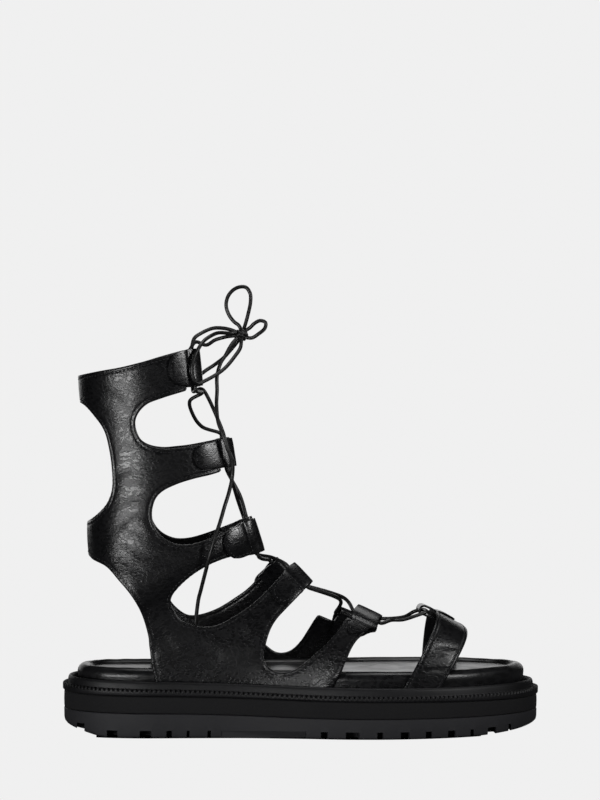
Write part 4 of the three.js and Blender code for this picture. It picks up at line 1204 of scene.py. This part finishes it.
# Each crease is a soft trough from one point to another in side view, with its width and
# depth; a low ridge stands beside it, as leather does where a strap bends.
CREASES = [
    (-104, 112, -90, 101, 3.2, 0.55), (-108, 106, -93, 93, 2.6, 0.45), (-100, 120, -90, 110, 2.8, 0.4),
    (-96, 128, -106, 118, 2.6, 0.35), (-110, 196, -100, 182, 3.0, 0.4), (-119, 199, -109, 188, 2.4, 0.3),
    (-84, 100, -70, 100, 3.0, 0.35), (-98, 155, -108, 146, 3.0, 0.3), (-70, 152, -58, 157, 2.4, 0.3),
    (-56, 116, -44, 112, 2.4, 0.35), (-47, 104, -40, 112, 2.2, 0.3), (-88, 206, -76, 196, 3.0, 0.35),
    (-30, 84, -22, 92, 2.4, 0.35), (-40, 60, -30, 52, 3.2, 0.35), (10, 58, 18, 52, 2.4, 0.3),
    (-84, 58, -72, 48, 3.4, 0.4), (-60, 50, -48, 44, 3.6, 0.35), (-103, 134, -92, 139, 2.6, 0.3),
]


def crease_height(points):
    total = np.zeros(len(points))
    flat = points[:, [0, 2]]
    for x1, z1, x2, z2, width, depth in CREASES:
        start, run = np.array([x1, z1]), np.array([x2 - x1, z2 - z1], float)
        share = ((flat - start) @ run) / (run @ run)
        off = flat - start - share[:, None] * run
        side = off[:, 0] * -run[1] + off[:, 1] * run[0]
        distance = np.sign(side) * np.linalg.norm(off, axis=1) / width
        fade = np.exp(-np.clip(np.abs(share - 0.5) - 0.25, 0, None) ** 2 * 18)
        total += depth * fade * (0.45 * np.exp(-(distance - 1.5) ** 2) - np.exp(-distance ** 2))
    return total


def soft_noise(points, scale, seed):
    return np.array([noise.noise(Vector((x * scale + seed, y * scale, z * scale))) for x, y, z in points])


def leather_height(distance):
    """How far the outside stands off the middle of the wall, by distance from an edge."""
    rounded = 0.55 + 0.45 * np.sqrt(1 - (1 - np.clip(distance / 0.9, 0, 1)) ** 2)
    puff = 0.16 * (1 - np.exp(-(distance / 5.0) ** 2))
    groove = 0.26 * np.exp(-((distance - 1.95) / 0.42) ** 2)
    return rounded + puff - groove

# %% [markdown]
# Now the mesh: triangles of the chart that lie on leather, lifted off the last for the
# outside, let into it for the lining, and closed by a rounded strip along every cut edge.

# %% The leather panels
def make_upper():
    loops = upper_edges
    chart = np.vstack(loops + rows + [field])
    edges, base = [], 0
    for loop in loops:
        count = len(loop)
        edges += [(base + k, base + (k + 1) % count) for k in range(count)]
        base += count
    made = geometry.delaunay_2d_cdt([Vector(p) for p in chart], edges, [], 0, 1e-5)
    where = np.array([tuple(v) for v in made[0]])
    faces = np.array(made[2])
    number = {source[0]: k for k, source in enumerate(made[3]) if source}
    faces = faces[inside(where[faces].mean(axis=1), loops)]
    place, turn = uncharted(where)
    middle, normal = last_point(place, turn), last_normal(place, turn)
    corners = middle[faces]
    longest = np.linalg.norm(corners - np.roll(corners, 1, axis=1), axis=2).max(axis=1)
    faces = faces[longest < LONGEST_EDGE]
    distance = edge_distance(where)
    height = leather_height(distance)
    bend = crease_height(middle) + 0.22 * soft_noise(middle, 0.045, 1) + 0.10 * soft_noise(middle, 0.16, 5)
    bend *= np.clip(distance / 3.0, 0.15, 1)
    low = np.clip((middle[:, 2] - 36) / 10, 0, 1)
    bend *= low
    outside = middle + normal * (height + bend)[:, None]
    lining = middle - normal * (np.minimum(height, 1.0) - 0.8 * bend)[:, None]
    count = len(where)
    points = list(outside) + list(lining)
    all_faces = [tuple(f) for f in faces] + [tuple(count + k for k in f[::-1]) for f in faces]
    base = 0
    for loop in loops:
        ring = [number[base + k] for k in range(len(loop))]
        base += len(loop)
        centre = middle[ring]
        tangent = np.roll(centre, -1, axis=0) - np.roll(centre, 1, axis=0)
        outward = np.cross(tangent, normal[ring])
        outward /= np.linalg.norm(outward, axis=1)[:, None]
        probe = tree_of(middle[distance > 0.2])
        if probe.find(centre[0] + outward[0] * 1.0)[2] < probe.find(centre[0] - outward[0] * 1.0)[2]:
            outward = -outward
        start = len(points)
        points += list(centre + outward * 0.22)
        for k, here in enumerate(ring):
            after = (k + 1) % len(ring)
            there = ring[after]
            all_faces.append((here, there, start + after, start + k))
            all_faces.append((start + k, start + after, count + there, count + here))
    piece = add_mesh("upper_panels", points, all_faces, upper_leather, sharp=70)
    return stands_for(piece, "upper_leather", "upper")


make_upper()

# %% [markdown]
# ## Stitching
# Two millimetres in from every edge runs one row of waxed thread. A stitch is a short round
# bar that dips at both ends; all of a row's stitches are one joined mesh.

# %% Stitch rows
STITCH_PITCH, STITCH_LENGTH, STITCH_THICKNESS = 2.4, 1.7, 0.62


def add_stitches(name, paths, normals_of):
    """A joined mesh of stitches along paths; normals_of gives the way out for the points."""
    points, faces = [], []
    along = np.linspace(-0.5, 0.5, 5)
    thick = np.array([0.45, 0.95, 1.0, 0.95, 0.45])
    sides = 6
    for path in paths:
        if len(path) < 3:
            continue
        normals = normals_of(path)
        run = np.concatenate([[0], np.cumsum(np.linalg.norm(np.diff(path, axis=0), axis=1))])
        for middle in np.arange(STITCH_PITCH / 2, run[-1], STITCH_PITCH):
            base = len(points)
            for share, fat in zip(along, thick):
                at = min(max(middle + share * STITCH_LENGTH, 0), run[-1] - 0.3)
                here = np.array([np.interp(at, run, path[:, c]) for c in range(3)])
                ahead = np.array([np.interp(at + 0.3, run, path[:, c]) for c in range(3)]) - here
                up = unit(np.array([np.interp(at, run, normals[:, c]) for c in range(3)]))
                side = unit(np.cross(up, ahead))
                dip = -0.30 * (2 * share) ** 4
                for k in range(sides):
                    turn = 2 * math.pi * k / sides
                    points.append(here + up * (dip + fat * STITCH_THICKNESS / 2 * math.sin(turn))
                                  + side * fat * STITCH_THICKNESS / 2 * math.cos(turn))
            for row in range(len(along) - 1):
                for k in range(sides):
                    nxt = (k + 1) % sides
                    faces.append((base + row * sides + k, base + row * sides + nxt,
                                  base + (row + 1) * sides + nxt, base + (row + 1) * sides + k))
            faces.append(tuple(base + k for k in range(sides)))
            faces.append(tuple(base + 4 * sides + k for k in range(sides)))
    piece = add_mesh(name, points, faces, thread, sharp=80)
    print(f"{name}: {len(faces) // (4 * sides + 2)} stitches")
    return piece


def split_where_far(path, limit):
    cuts = np.nonzero(np.linalg.norm(np.diff(path, axis=0), axis=1) > limit)[0] + 1
    return np.split(path, cuts)

# %% [markdown]
# On the upper the thread lies in the groove that the panels' edge already has. The stitches
# stop where the leather goes down behind the footbed, since nobody sews what is glued.

# %% Stitches of the upper
def make_upper_stitches():
    paths, tops = [], []
    for loop in upper_edges:
        chart = row_inside(loop, 2.0)
        place, turn = uncharted(chart)
        normal = last_normal(place, turn)
        real = last_point(place, turn)
        surface = real + normal * (leather_height(np.full(len(real), 2.0)) + 0.12)[:, None]
        shown = surface[:, 2] > 34
        surface = surface[shown]
        paths += split_where_far(surface, 7)
        tops.append(np.hstack([surface, normal[shown]]))
    known = np.vstack(tops)
    tree = tree_of(known[:, :3])

    def normals_of(path):
        return np.array([known[tree.find(p)[1], 3:] for p in path])

    add_stitches("upper_stitches", [respaced(p, 0.9) for p in paths if len(p) > 3], normals_of)


make_upper_stitches()

# %% [markdown]
# ## Lace loops
# Each arm ends in a folded strip: its round-ended outside is sewn flat on the arm, the fold
# goes round the lace, and a short tail is sewn inside. A folded sheet with a real thickness
# shows that at its open mouths, which a solid block couldn't. A row of stitches closes the
# fold, and another follows the round end.

# %% Folded loops
STRIP = 1.2  # thickness of the folded leather
STRIP_ROUNDING = 0.32
STRIP_LIFT = 1.0 + 0.3 + STRIP / 2
FOLD_RADIUS = 2.3
PATCH_LEAN = 0.65


def strip_side_points(tab, back, side):
    """Side-view points at a distance back from the loop's middle and across the arm."""
    forward, upper, lower, size = arm_end(tab, LOOP_LENGTH / 2)
    along = (upper - lower) / size
    back, side = np.broadcast_arrays(back, side)
    return (upper + lower) / 2 - forward * back[..., None] + along * side[..., None]


def strip_widths(tab):
    """Half the strip's width at the fold and at its sewn-down part, and where that ends."""
    size = arm_end(tab, 0)[3]
    inset_by = 2.6 if tab in (side[0] for side in TABS.values()) else 0.9
    return size / 2 - 0.1, size / 2 - inset_by, tab[2] - LOOP_LENGTH / 2


def half_width_at(tab, back):
    fold, sewn, reach = strip_widths(tab)
    base = fold + (sewn - fold) * np.clip((back - 4.2) / 2.5, 0, 1)
    round_end = np.clip(reach - back, 0, None)
    radius = min(sewn, reach - 6)
    arc = np.sqrt(np.clip(1 - (1 - np.clip(round_end / radius, 0, 1)) ** 2.4, 0, 1))
    return base * np.where(round_end < radius, arc, 1)


def fold_profile(tab):
    """The strip's path from its round end, over the fold, to the tail: (back, height)."""
    reach = strip_widths(tab)[2]
    outside = [(back, STRIP_LIFT) for back in np.concatenate(
        [reach - np.array([0.02, 0.15, 0.45, 1.0, 1.8, 2.8, 4.0]), np.linspace(reach - 5.4, 5.2, 6)])]
    middle = -LOOP_SINK
    pinch = [(4.6, STRIP_LIFT - 0.25), (3.9, STRIP_LIFT - 0.5), (3.2, STRIP_LIFT - 0.3),
             (2.2, STRIP_LIFT + 0.05), (1.0, STRIP_LIFT + 0.2)]
    nose_centre = -(LOOP_LENGTH / 2 - FOLD_RADIUS - STRIP / 2)
    nose = [(nose_centre - FOLD_RADIUS * math.sin(turn), middle + FOLD_RADIUS * math.cos(turn))
            for turn in np.linspace(0.1, math.pi - 0.1, 11)]
    under = [(back, middle - FOLD_RADIUS) for back in (-0.6, 1.2, 2.8)]
    tail = [(back, -STRIP_LIFT + 0.25 * (back < 6)) for back in (4.6, 6.0, 7.6, 9.2, 10.4, 10.8)]
    return outside + pinch + nose + under + tail


def strip_point(side_name, number, back, side, height):
    """A point of a folded strip; behind the fold it lies on the arm, in front it is straight."""
    tab, sign = TABS[side_name][number - 1], SIGN[side_name]
    loop = LOOPS[side_name][number - 1]
    if number == 1:  # this arm bends back, and its patch follows it
        side = side + PATCH_LEAN * np.clip(back - 4.5, 0, None)
    laid = laid_on_last(strip_side_points(tab, np.maximum(back, 1.0), side), sign, height)
    free = (loop["centre"] - loop["forward"] * back[..., None] + loop["across"] * side[..., None]
            + loop["normal"] * height[..., None])
    at_joint = (loop["centre"] - loop["forward"] * np.ones_like(back)[..., None]
                + loop["across"] * side[..., None] + loop["normal"] * height[..., None])
    share = np.clip((back + 1.0) / 5.0, 0, 1)[..., None]
    share = share * share * (3 - 2 * share)
    laid = np.where(back[..., None] < 1.0, laid + free - at_joint, laid)
    return free * (1 - share) + laid * share

# %% [markdown]
# The sheet is made as one surface along the fold's path, a little swollen across its middle, and then
# given its thickness by a Solidify modifier and its softened edge by a Bevel. Both stay
# modifiers, because the width of the strip may still change.

# %% One folded loop
def thicken(piece):
    thick = piece.modifiers.new("thickness", "SOLIDIFY")
    thick.thickness = STRIP * MM
    thick.offset = 0
    soft = piece.modifiers.new("rounded edge", "BEVEL")
    soft.width = STRIP_ROUNDING * MM
    soft.segments = 2
    soft.angle_limit = math.radians(50)


def make_loop(side_name, number):
    tab = TABS[side_name][number - 1]
    across = np.concatenate([[-1, -0.97, -0.9], np.linspace(-0.78, 0.78, 11), [0.9, 0.97, 1]])
    profile = fold_profile(tab)
    back = np.array([b for b, _ in profile])[:, None] * np.ones(len(across))
    height = np.array([h for _, h in profile])[:, None] * np.ones(len(across))
    half = half_width_at(tab, np.maximum(back, -99))
    side = half * across
    rng = random.Random(100 * number + (side_name == "medial"))
    drift = rng.uniform(0, 50)
    flat = strip_point(side_name, number, back, side, height)
    swell = np.array([noise.noise(Vector((x * 0.11 + drift, y * 0.11, z * 0.11)))
                      for x, y, z in flat.reshape(-1, 3)])
    puff = 0.35 * (1 - across ** 4) * np.clip((half - 3) / 4, 0, 1)
    height = np.where(height > 0, height + puff + 0.14 * swell.reshape(height.shape), height)
    points = strip_point(side_name, number, back, side, height).reshape(-1, 3)
    columns = len(across)
    faces = [(r * columns + c, r * columns + c + 1, (r + 1) * columns + c + 1, (r + 1) * columns + c)
             for r in range(len(profile) - 1) for c in range(columns - 1)]
    piece = add_mesh(f"loop_{side_name}_{number}_fold", points, faces, patch_leather, sharp=75)
    thicken(piece)
    return stands_for(piece, "upper_leather", f"loop_{side_name}_{number}")

# %% [markdown]
# The closing row runs straight across the strip just behind the fold, and the other follows
# the round end of the patch at an even distance from its edge.

# %% Stitches of the loops
def loop_stitch_paths(side_name, number):
    """The row that closes the fold, and the row inside the round end."""
    tab = TABS[side_name][number - 1]
    reach = strip_widths(tab)[2]
    top = STRIP_LIFT + STRIP / 2 + 0.22
    span = np.linspace(-1, 1, 40)
    half = half_width_at(tab, np.array([3.9]))[0] - 1.0
    closing = strip_point(side_name, number, np.full(40, 3.9), span * half, np.full(40, top - 0.45))
    back, side = [], []
    for start in np.linspace(5.4, reach - 0.05, 40):
        back.append(start)
        side.append(float(half_width_at(tab, np.array([start]))[0]))
    shape = np.array(list(zip(back, side)) + [(b, -s) for b, s in zip(back[::-1], side[::-1])])
    shape = respaced(shape, 0.5)
    step = np.gradient(shape, axis=0)
    inward = np.stack([-step[:, 1], step[:, 0]], axis=1)
    inward /= np.linalg.norm(inward, axis=1)[:, None]
    centre = np.array([(5.4 + reach) / 2, 0])
    if ((shape + inward - centre) ** 2).sum() > ((shape - centre) ** 2).sum():
        inward = -inward
    row = shape + inward * 1.35
    around = strip_point(side_name, number, row[:, 0], row[:, 1], np.full(len(row), top + 0.02))
    return [respaced(closing, 0.7), respaced(around, 0.7)]


def make_loops():
    paths, known = [], []
    for side_name in TABS:
        for number in range(1, 6):
            make_loop(side_name, number)
            loop = LOOPS[side_name][number - 1]
            for path in loop_stitch_paths(side_name, number):
                paths.append(path)
                known.append((path, loop["normal"]))

    def normals_of(path):
        for made, normal in known:
            if len(made) == len(path) and np.allclose(made[0], path[0]):
                x, z = path[:, 0], path[:, 2]
                sign = -1 if normal[1] < 0 else 1
                place, turn = on_last(x, z, sign)
                return last_normal(place, turn)
        return np.tile(normal, (len(path), 1))

    add_stitches("loop_stitches", paths, normals_of)


make_loops()

# %% [markdown]
# ## Toe strap
# One wide band of the same lined leather arches over the toes from welt to welt. Its edges
# are rounded and sewn, and at its rear edge, on top, a small folded ring holds the lace.

# %% Toe strap
STRAP_REAR = {"lateral": 52.9, "ridge": 77.6, "medial": 76.0, "height": 42.4}
STRAP_FRONT = {"lateral": 74.2, "ridge": 95.4, "medial": 97.0, "height": 32.6}
STRAP_BASE, STRAP_SQUARE = 25.4, 0.62
TOE_LOOP = {"x": 73.0, "z": 68.0, "width": 13.0, "tilt": 0.42}


def strap_point(share, angle, lift):
    """A point of the band: share from its rear to its front edge, angle over the toes."""
    rise = math.sin(angle)
    near = angle < math.pi / 2
    foot, name = [], "lateral" if near else "medial"
    for edge in (STRAP_REAR, STRAP_FRONT):
        x = edge[name] + (edge["ridge"] - edge[name]) * rise
        half = half_width(edge[name], name) - (PANEL_SEAT - 0.2)
        side = -math.copysign(abs(math.cos(angle)) ** STRAP_SQUARE, math.cos(angle))
        foot.append(np.array([x, (half + lift) * side, STRAP_BASE + (edge["height"] + lift) * rise]))
    return foot[0] + (foot[1] - foot[0]) * share


STRAP_WIDTH = float(np.linalg.norm(strap_point(1, 0.9, 0) - strap_point(0, 0.9, 0)))
STRAP_CREASES = [(0.30, 0.55, 0.9, 0.4), (0.62, 0.35, 0.7, 0.35), (0.55, 0.72, 1.1, 0.35),
                 (0.35, 1.9, 0.9, 0.35), (0.7, 2.4, 0.8, 0.3)]


def strap_swell(share, angle, point):
    edge = min(share, 1 - share) * STRAP_WIDTH
    value = 0.22 * (1 - math.exp(-(edge / 4.5) ** 2)) - 0.26 * math.exp(-((edge - 1.95) / 0.42) ** 2)
    value += 0.16 * noise.noise(Vector(tuple(c * 0.09 for c in point)))
    for at_share, at_angle, width, depth in STRAP_CREASES:
        across = (angle - at_angle) * 22 / width
        along = (share - at_share) * 3.2
        value -= depth * math.exp(-(across - along) ** 2) * math.exp(-along ** 2)
    return value


def make_toe_strap():
    angles = np.linspace(0, math.pi, 150)
    edge = np.array([0, 0.12, 0.35, 0.75, 1.2, 1.6, 1.95, 2.3, 2.8, 3.6, 5.0]) / STRAP_WIDTH
    shares = np.concatenate([edge, np.linspace(edge[-1], 1 - edge[-1], 10)[1:-1], 1 - edge[::-1]])
    rings = []
    for angle in angles:
        # the arch is steep at its feet, so its points crowd there and fan out on top
        turn = math.pi * (0.5 - 0.5 * math.cos(angle)) * 0.35 + angle * 0.65
        outer, inner = [], []
        for share in shares:
            place = strap_point(share, turn, 0)
            near = min(share, 1 - share) * STRAP_WIDTH
            half = 1.1 * math.sqrt(max(0.0, 1 - (1 - min(near / 0.9, 1)) ** 2)) * 0.6 + 0.44
            swell = strap_swell(share, turn, place) * min(1, near / 1.5)
            outer.append(strap_point(share, turn, half + swell))
            inner.append(strap_point(share, turn, -half + 0.7 * min(swell, 0)))
        rings.append(outer + inner[::-1])
    points = [p for ring in rings for p in ring]
    faces = ring_faces(len(rings), len(rings[0]), False)
    return add_mesh("toe_strap_band", points, faces, upper_leather, sharp=70)

# %% [markdown]
# The ring at the rear of the strap is a narrower strip, sewn on top, that goes round the lace
# and back under the strap. It is the same kind of sheet as the arms' loops.

# %% The ring for the lace
def toe_loop_path():
    """The ring round the lace: from the top of the strap, over the nose, to under it."""
    axis = np.array([math.cos(TOE_LOOP["tilt"]), 0, -math.sin(TOE_LOOP["tilt"])])
    up = np.array([math.sin(TOE_LOOP["tilt"]), 0, math.cos(TOE_LOOP["tilt"])])
    centre = np.array([TOE_LOOP["x"], 0, TOE_LOOP["z"]])
    ring = 2.42
    route = [(16.5, 1.9), (16.2, 2.15), (15, 2.45), (12, 2.75), (9, 2.9), (6.6, 2.7), (5.4, 2.25),
             (4.2, 2.2), (2.6, 2.4), (1.0, 2.45), (-0.6, ring)]
    route += [(-2.2 - ring * math.sin(turn), ring * math.cos(turn))
              for turn in np.linspace(0.1, math.pi - 0.1, 12)]
    route += [(-0.6, -ring), (1.5, -2.4), (4.0, -2.2), (6.5, -2.0), (9, -2.1), (11, -2.2)]
    return [centre + axis * a + up * h for a, h in route]


def make_toe_loop():
    path = toe_loop_path()
    across = np.concatenate([[-1, -0.96, -0.86], np.linspace(-0.7, 0.7, 9), [0.86, 0.96, 1]])
    half = TOE_LOOP["width"] / 2
    points = []
    for row, place in enumerate(path):
        narrow = 0.55 + 0.45 * math.sqrt(min(1, (row + 0.4) / 4)) if row < 4 else 1
        points += [place + np.array([0, share * half * narrow, 0]) for share in across]
    columns = len(across)
    faces = [(r * columns + c, r * columns + c + 1, (r + 1) * columns + c + 1, (r + 1) * columns + c)
             for r in range(len(path) - 1) for c in range(columns - 1)]
    piece = add_mesh("toe_loop_fold", points, faces, patch_leather, sharp=75)
    thicken(piece)
    return piece

# %% [markdown]
# The strap's two rows of stitches follow its edges from one foot of the arch to the other.

# %% Stitches of the strap
def make_strap_stitches():
    paths, normal_sets = [], []
    for share in (2.0 / STRAP_WIDTH, 1 - 2.0 / STRAP_WIDTH):
        angles = np.linspace(0.06, math.pi - 0.06, 260)
        path = np.array([strap_point(share, a, 1.0 + 0.12) for a in angles])
        out = np.array([strap_point(share, a, 2.0) - strap_point(share, a, 1.0) for a in angles])
        paths.append(path)
        normal_sets.append((path, out))

    def normals_of(path):
        for known, out in normal_sets:
            if np.allclose(known[0], path[0]):
                return out
        return normal_sets[0][1]

    add_stitches("toe_strap_stitches", paths, normals_of)


strap = make_toe_strap()
stands_for(strap, "upper_leather", "toe_strap")
make_toe_loop()
make_strap_stitches()

# %% [markdown]
# ## The lace through the loops
# One lace zigzags up each way from the toe ring: out of a loop's upper mouth, across the
# instep, into the lower mouth of the other side's next loop. Its two strands cross in front
# of the leg, one just over the other.

# %% Lace run
CROSSINGS = [
    ((23, -2, 75.7), []), ((-17.5, 0, 98.5), []), ((-36.5, 0, 134.5), []),
    ((-57.4, -4, 194.8), [(-57.2, 12, 174.8), (-62.9, 5, 182), (-64.8, -1, 190)])]
OVER = np.array([0.8, 0, 0.6])


def toe_route(side):
    """From the middle of the toe ring to the lowest loop."""
    x, z, through = TOE_LOOP["x"], TOE_LOOP["z"], TOE_LOOP["width"] / 2
    if side == "lateral":
        return [(x, 0, z), (x, -through * 0.7, z), (x - 0.6, -through - 1.6, z), (66.8, -10.6, 66.4),
                (58, -12.8, 64), (51.4, -15, 64)]
    return [(x, 0, z), (x, through * 0.7, z), (x - 0.6, through + 1.6, z), (67.6, 10.4, 66.8),
            (61.8, 11.5, 63.6), (54.5, 13.5, 62.4), (48.4, 16, 62.0)]


def lace_route(side):
    """One strand from the toe ring up to the mouth of the top loop."""
    other = {"lateral": "medial", "medial": "lateral"}
    route = [np.array(p, float) for p in toe_route(side)]
    here = side
    route += [mouth(here, 1, -1, 0.6), mouth(here, 1, -1, -1.5)]
    for number, (meet, slack) in enumerate(CROSSINGS, start=1):
        clear = 0.4 if number == 1 else 2.2
        route += [mouth(here, number, 1), mouth(here, number, 1, clear)]
        if here == "medial":
            route += [np.array(p, float) for p in slack]
        lift = 1.05 if here == "lateral" else -1.05
        route.append(np.array(meet, float) + OVER * lift)
        here = other[here]
        route += [mouth(here, number + 1, -1, clear), mouth(here, number + 1, -1)]
    route.append(mouth(here, 5, 1))
    return route

# %% [markdown]
# These stretches are held by the loops, so they don't hang: one swept tube for each strand is
# enough. Its rings turn as little as they can along the path, which keeps the lace from
# twisting where it bends.

# %% The strands
def tube(path, radius, sides):
    """Rings of a tube that turns as little as it can along its path."""
    rings, reference = [], np.array([0.0, 0.0, 1.0])
    for k, place in enumerate(path):
        ahead = unit(path[min(k + 1, len(path) - 1)] - path[max(k - 1, 0)])
        reference = reference - ahead * (reference @ ahead)
        reference = unit(reference) if np.linalg.norm(reference) > 1e-6 else np.array([1.0, 0, 0])
        other = np.cross(ahead, reference)
        turns = [2 * math.pi * n / sides for n in range(sides)]
        rings.append([place + radius * (reference * math.cos(t) + other * math.sin(t)) for t in turns])
    return rings


def make_lace_run():
    points, faces, sides = [], [], 10
    for side in ("lateral", "medial"):
        path = smooth_path(lace_route(side), 1.1)
        rings = tube(path, LACE / 2, sides)
        base = len(points)
        points += [p for ring in rings for p in ring]
        faces += [tuple(base + k for k in face) for face in ring_faces(len(rings), sides, False)]
    piece = add_mesh("lace_run", points, faces, lace_leather, sharp=80)
    return stands_for(piece, "lace_leather", "lace_toe_span",
                      *(f"lace_crossing_{n}" for n in range(1, 5)))


make_lace_run()


# %% [markdown]
# ## Light, floor and world
# Black leather shows what it reflects, so it takes few lamps in dark surroundings. A low
# softbox in front on the left draws the broad highlights; a strip on the right, a panel above,
# a wide one behind and a faint fill in front are weaker. An even white studio would turn the
# leather grey. The side away from the softbox gets little light this way.

# %% Light and floor
def soft_panel(name, place, aim, size, power):
    data = bpy.data.lights.new(name, "AREA")
    data.shape = "RECTANGLE"
    data.size, data.size_y = size
    data.energy = power
    lamp = bpy.data.objects.new(name, data)
    lamp.location = place
    lamp.rotation_euler = (Vector(aim) - Vector(place)).to_track_quat("-Z", "Y").to_euler()
    bpy.context.collection.objects.link(lamp)
    return lamp

# %% [markdown]
# The main light stands low in front, to the left, so that its reflection runs down the lower
# shaft and the patches and leaves the quarter dark. A wide ring of lamps would light the
# leather evenly, and black leather would then look grey.

# %% The lamps
PALE = 0.871
# the heel and toe ends of the painted shadow sheet under the sole, and how much of the sole's width it
# covers
SHADE_HEEL, SHADE_TOE, SHADE_SHARE = -118, 100, 0.92
DIM = 0.02
soft_panel("left softbox", (-1.05, -1.35, 0.02), (-0.05, 0, 0.10), (0.95, 0.34), 21)
soft_panel("right strip", (1.25, -1.0, 0.75), (0, 0, 0.10), (0.30, 0.5), 8)
soft_panel("top panel", (0.1, 0.1, 1.5), (0, 0, 0.1), (0.9, 0.7), 5)
soft_panel("back panel", (0.0, 1.7, 0.35), (0, 0, 0.10), (2.6, 0.6), 4.5)
soft_panel("front fill", (-0.2, -1.9, 0.10), (0, 0, 0.02), (1.6, 0.25), 0.5)
print("lamps:", len(bpy.data.lights))

# %% [markdown]
# The world and the floor are pale only to the camera. Everything else sees a dim room, so the
# black stays black while the background stays bright.

# %% World and floor
def seen_by_camera(tree):
    return node(tree, "ShaderNodeLightPath").outputs["Is Camera Ray"]


def make_world():
    """Pale to the camera, dimmer to the leather, so that the panels draw the highlights."""
    world = bpy.data.worlds.new("pale studio")
    world.use_nodes = True
    tree = world.node_tree
    background = tree.nodes["Background"]
    background.inputs[0].default_value = (PALE, PALE, PALE, 1)
    seen = math_node(tree, "MULTIPLY", seen_by_camera(tree), 1.0 - DIM)
    tree.links.new(math_node(tree, "ADD", seen, DIM), background.inputs[1])
    bpy.context.scene.world = world


def make_floor():
    material = bpy.data.materials.new("pale floor")
    material.use_nodes = True
    tree = material.node_tree
    tree.nodes.clear()
    seen = node(tree, "ShaderNodeEmission", [("Color", (PALE, PALE, PALE, 1))])
    lit = node(tree, "ShaderNodeBsdfDiffuse", [("Color", (0.1, 0.1, 0.1, 1))])
    mix = node(tree, "ShaderNodeMixShader", [(0, seen_by_camera(tree)), (1, lit.outputs[0]),
                                             (2, seen.outputs[0])])
    node(tree, "ShaderNodeOutputMaterial", [(0, mix.outputs[0])])
    mesh = bpy.data.meshes.new("floor")
    reach = 6.0
    mesh.from_pydata([(-reach, -reach, -0.0004), (reach, -reach, -0.0004), (reach, reach, -0.0004),
                      (-reach, reach, -0.0004)], [], [(0, 1, 2, 3)])
    mesh.materials.append(material)
    floor = bpy.data.objects.new("floor", mesh)
    bpy.context.collection.objects.link(floor)

# %% [markdown]
# The ground under a sole lies in its shadow, and that shadow shows between the lugs. A pale floor would
# shine through the gaps, so a small dark sheet under the middle of the sole paints that shadow on.

# %% The shade under the sole
def make_contact_shade():
    """A painted shadow under the sole: a dark sheet that shows only through the gaps between the lugs."""
    material = bpy.data.materials.new("contact shade")
    material.use_nodes = True
    shader = material.node_tree.nodes["Principled BSDF"]
    shader.inputs["Base Color"].default_value = (0.004, 0.004, 0.005, 1)
    shader.inputs["Specular IOR Level"].default_value = 0.0
    mesh = bpy.data.meshes.new("contact_shade")
    ring = [(min(max(x, SHADE_HEEL), SHADE_TOE), y * SHADE_SHARE, -0.2) for x, y, *_ in fine_outline]
    mesh.from_pydata([in_metres(p) for p in ring], [], [tuple(range(len(ring)))])
    mesh.materials.append(material)
    shade = bpy.data.objects.new("contact_shade", mesh)
    bpy.context.collection.objects.link(shade)


make_world()
make_floor()
make_contact_shade()
bpy.context.scene.view_settings.view_transform = "Standard"
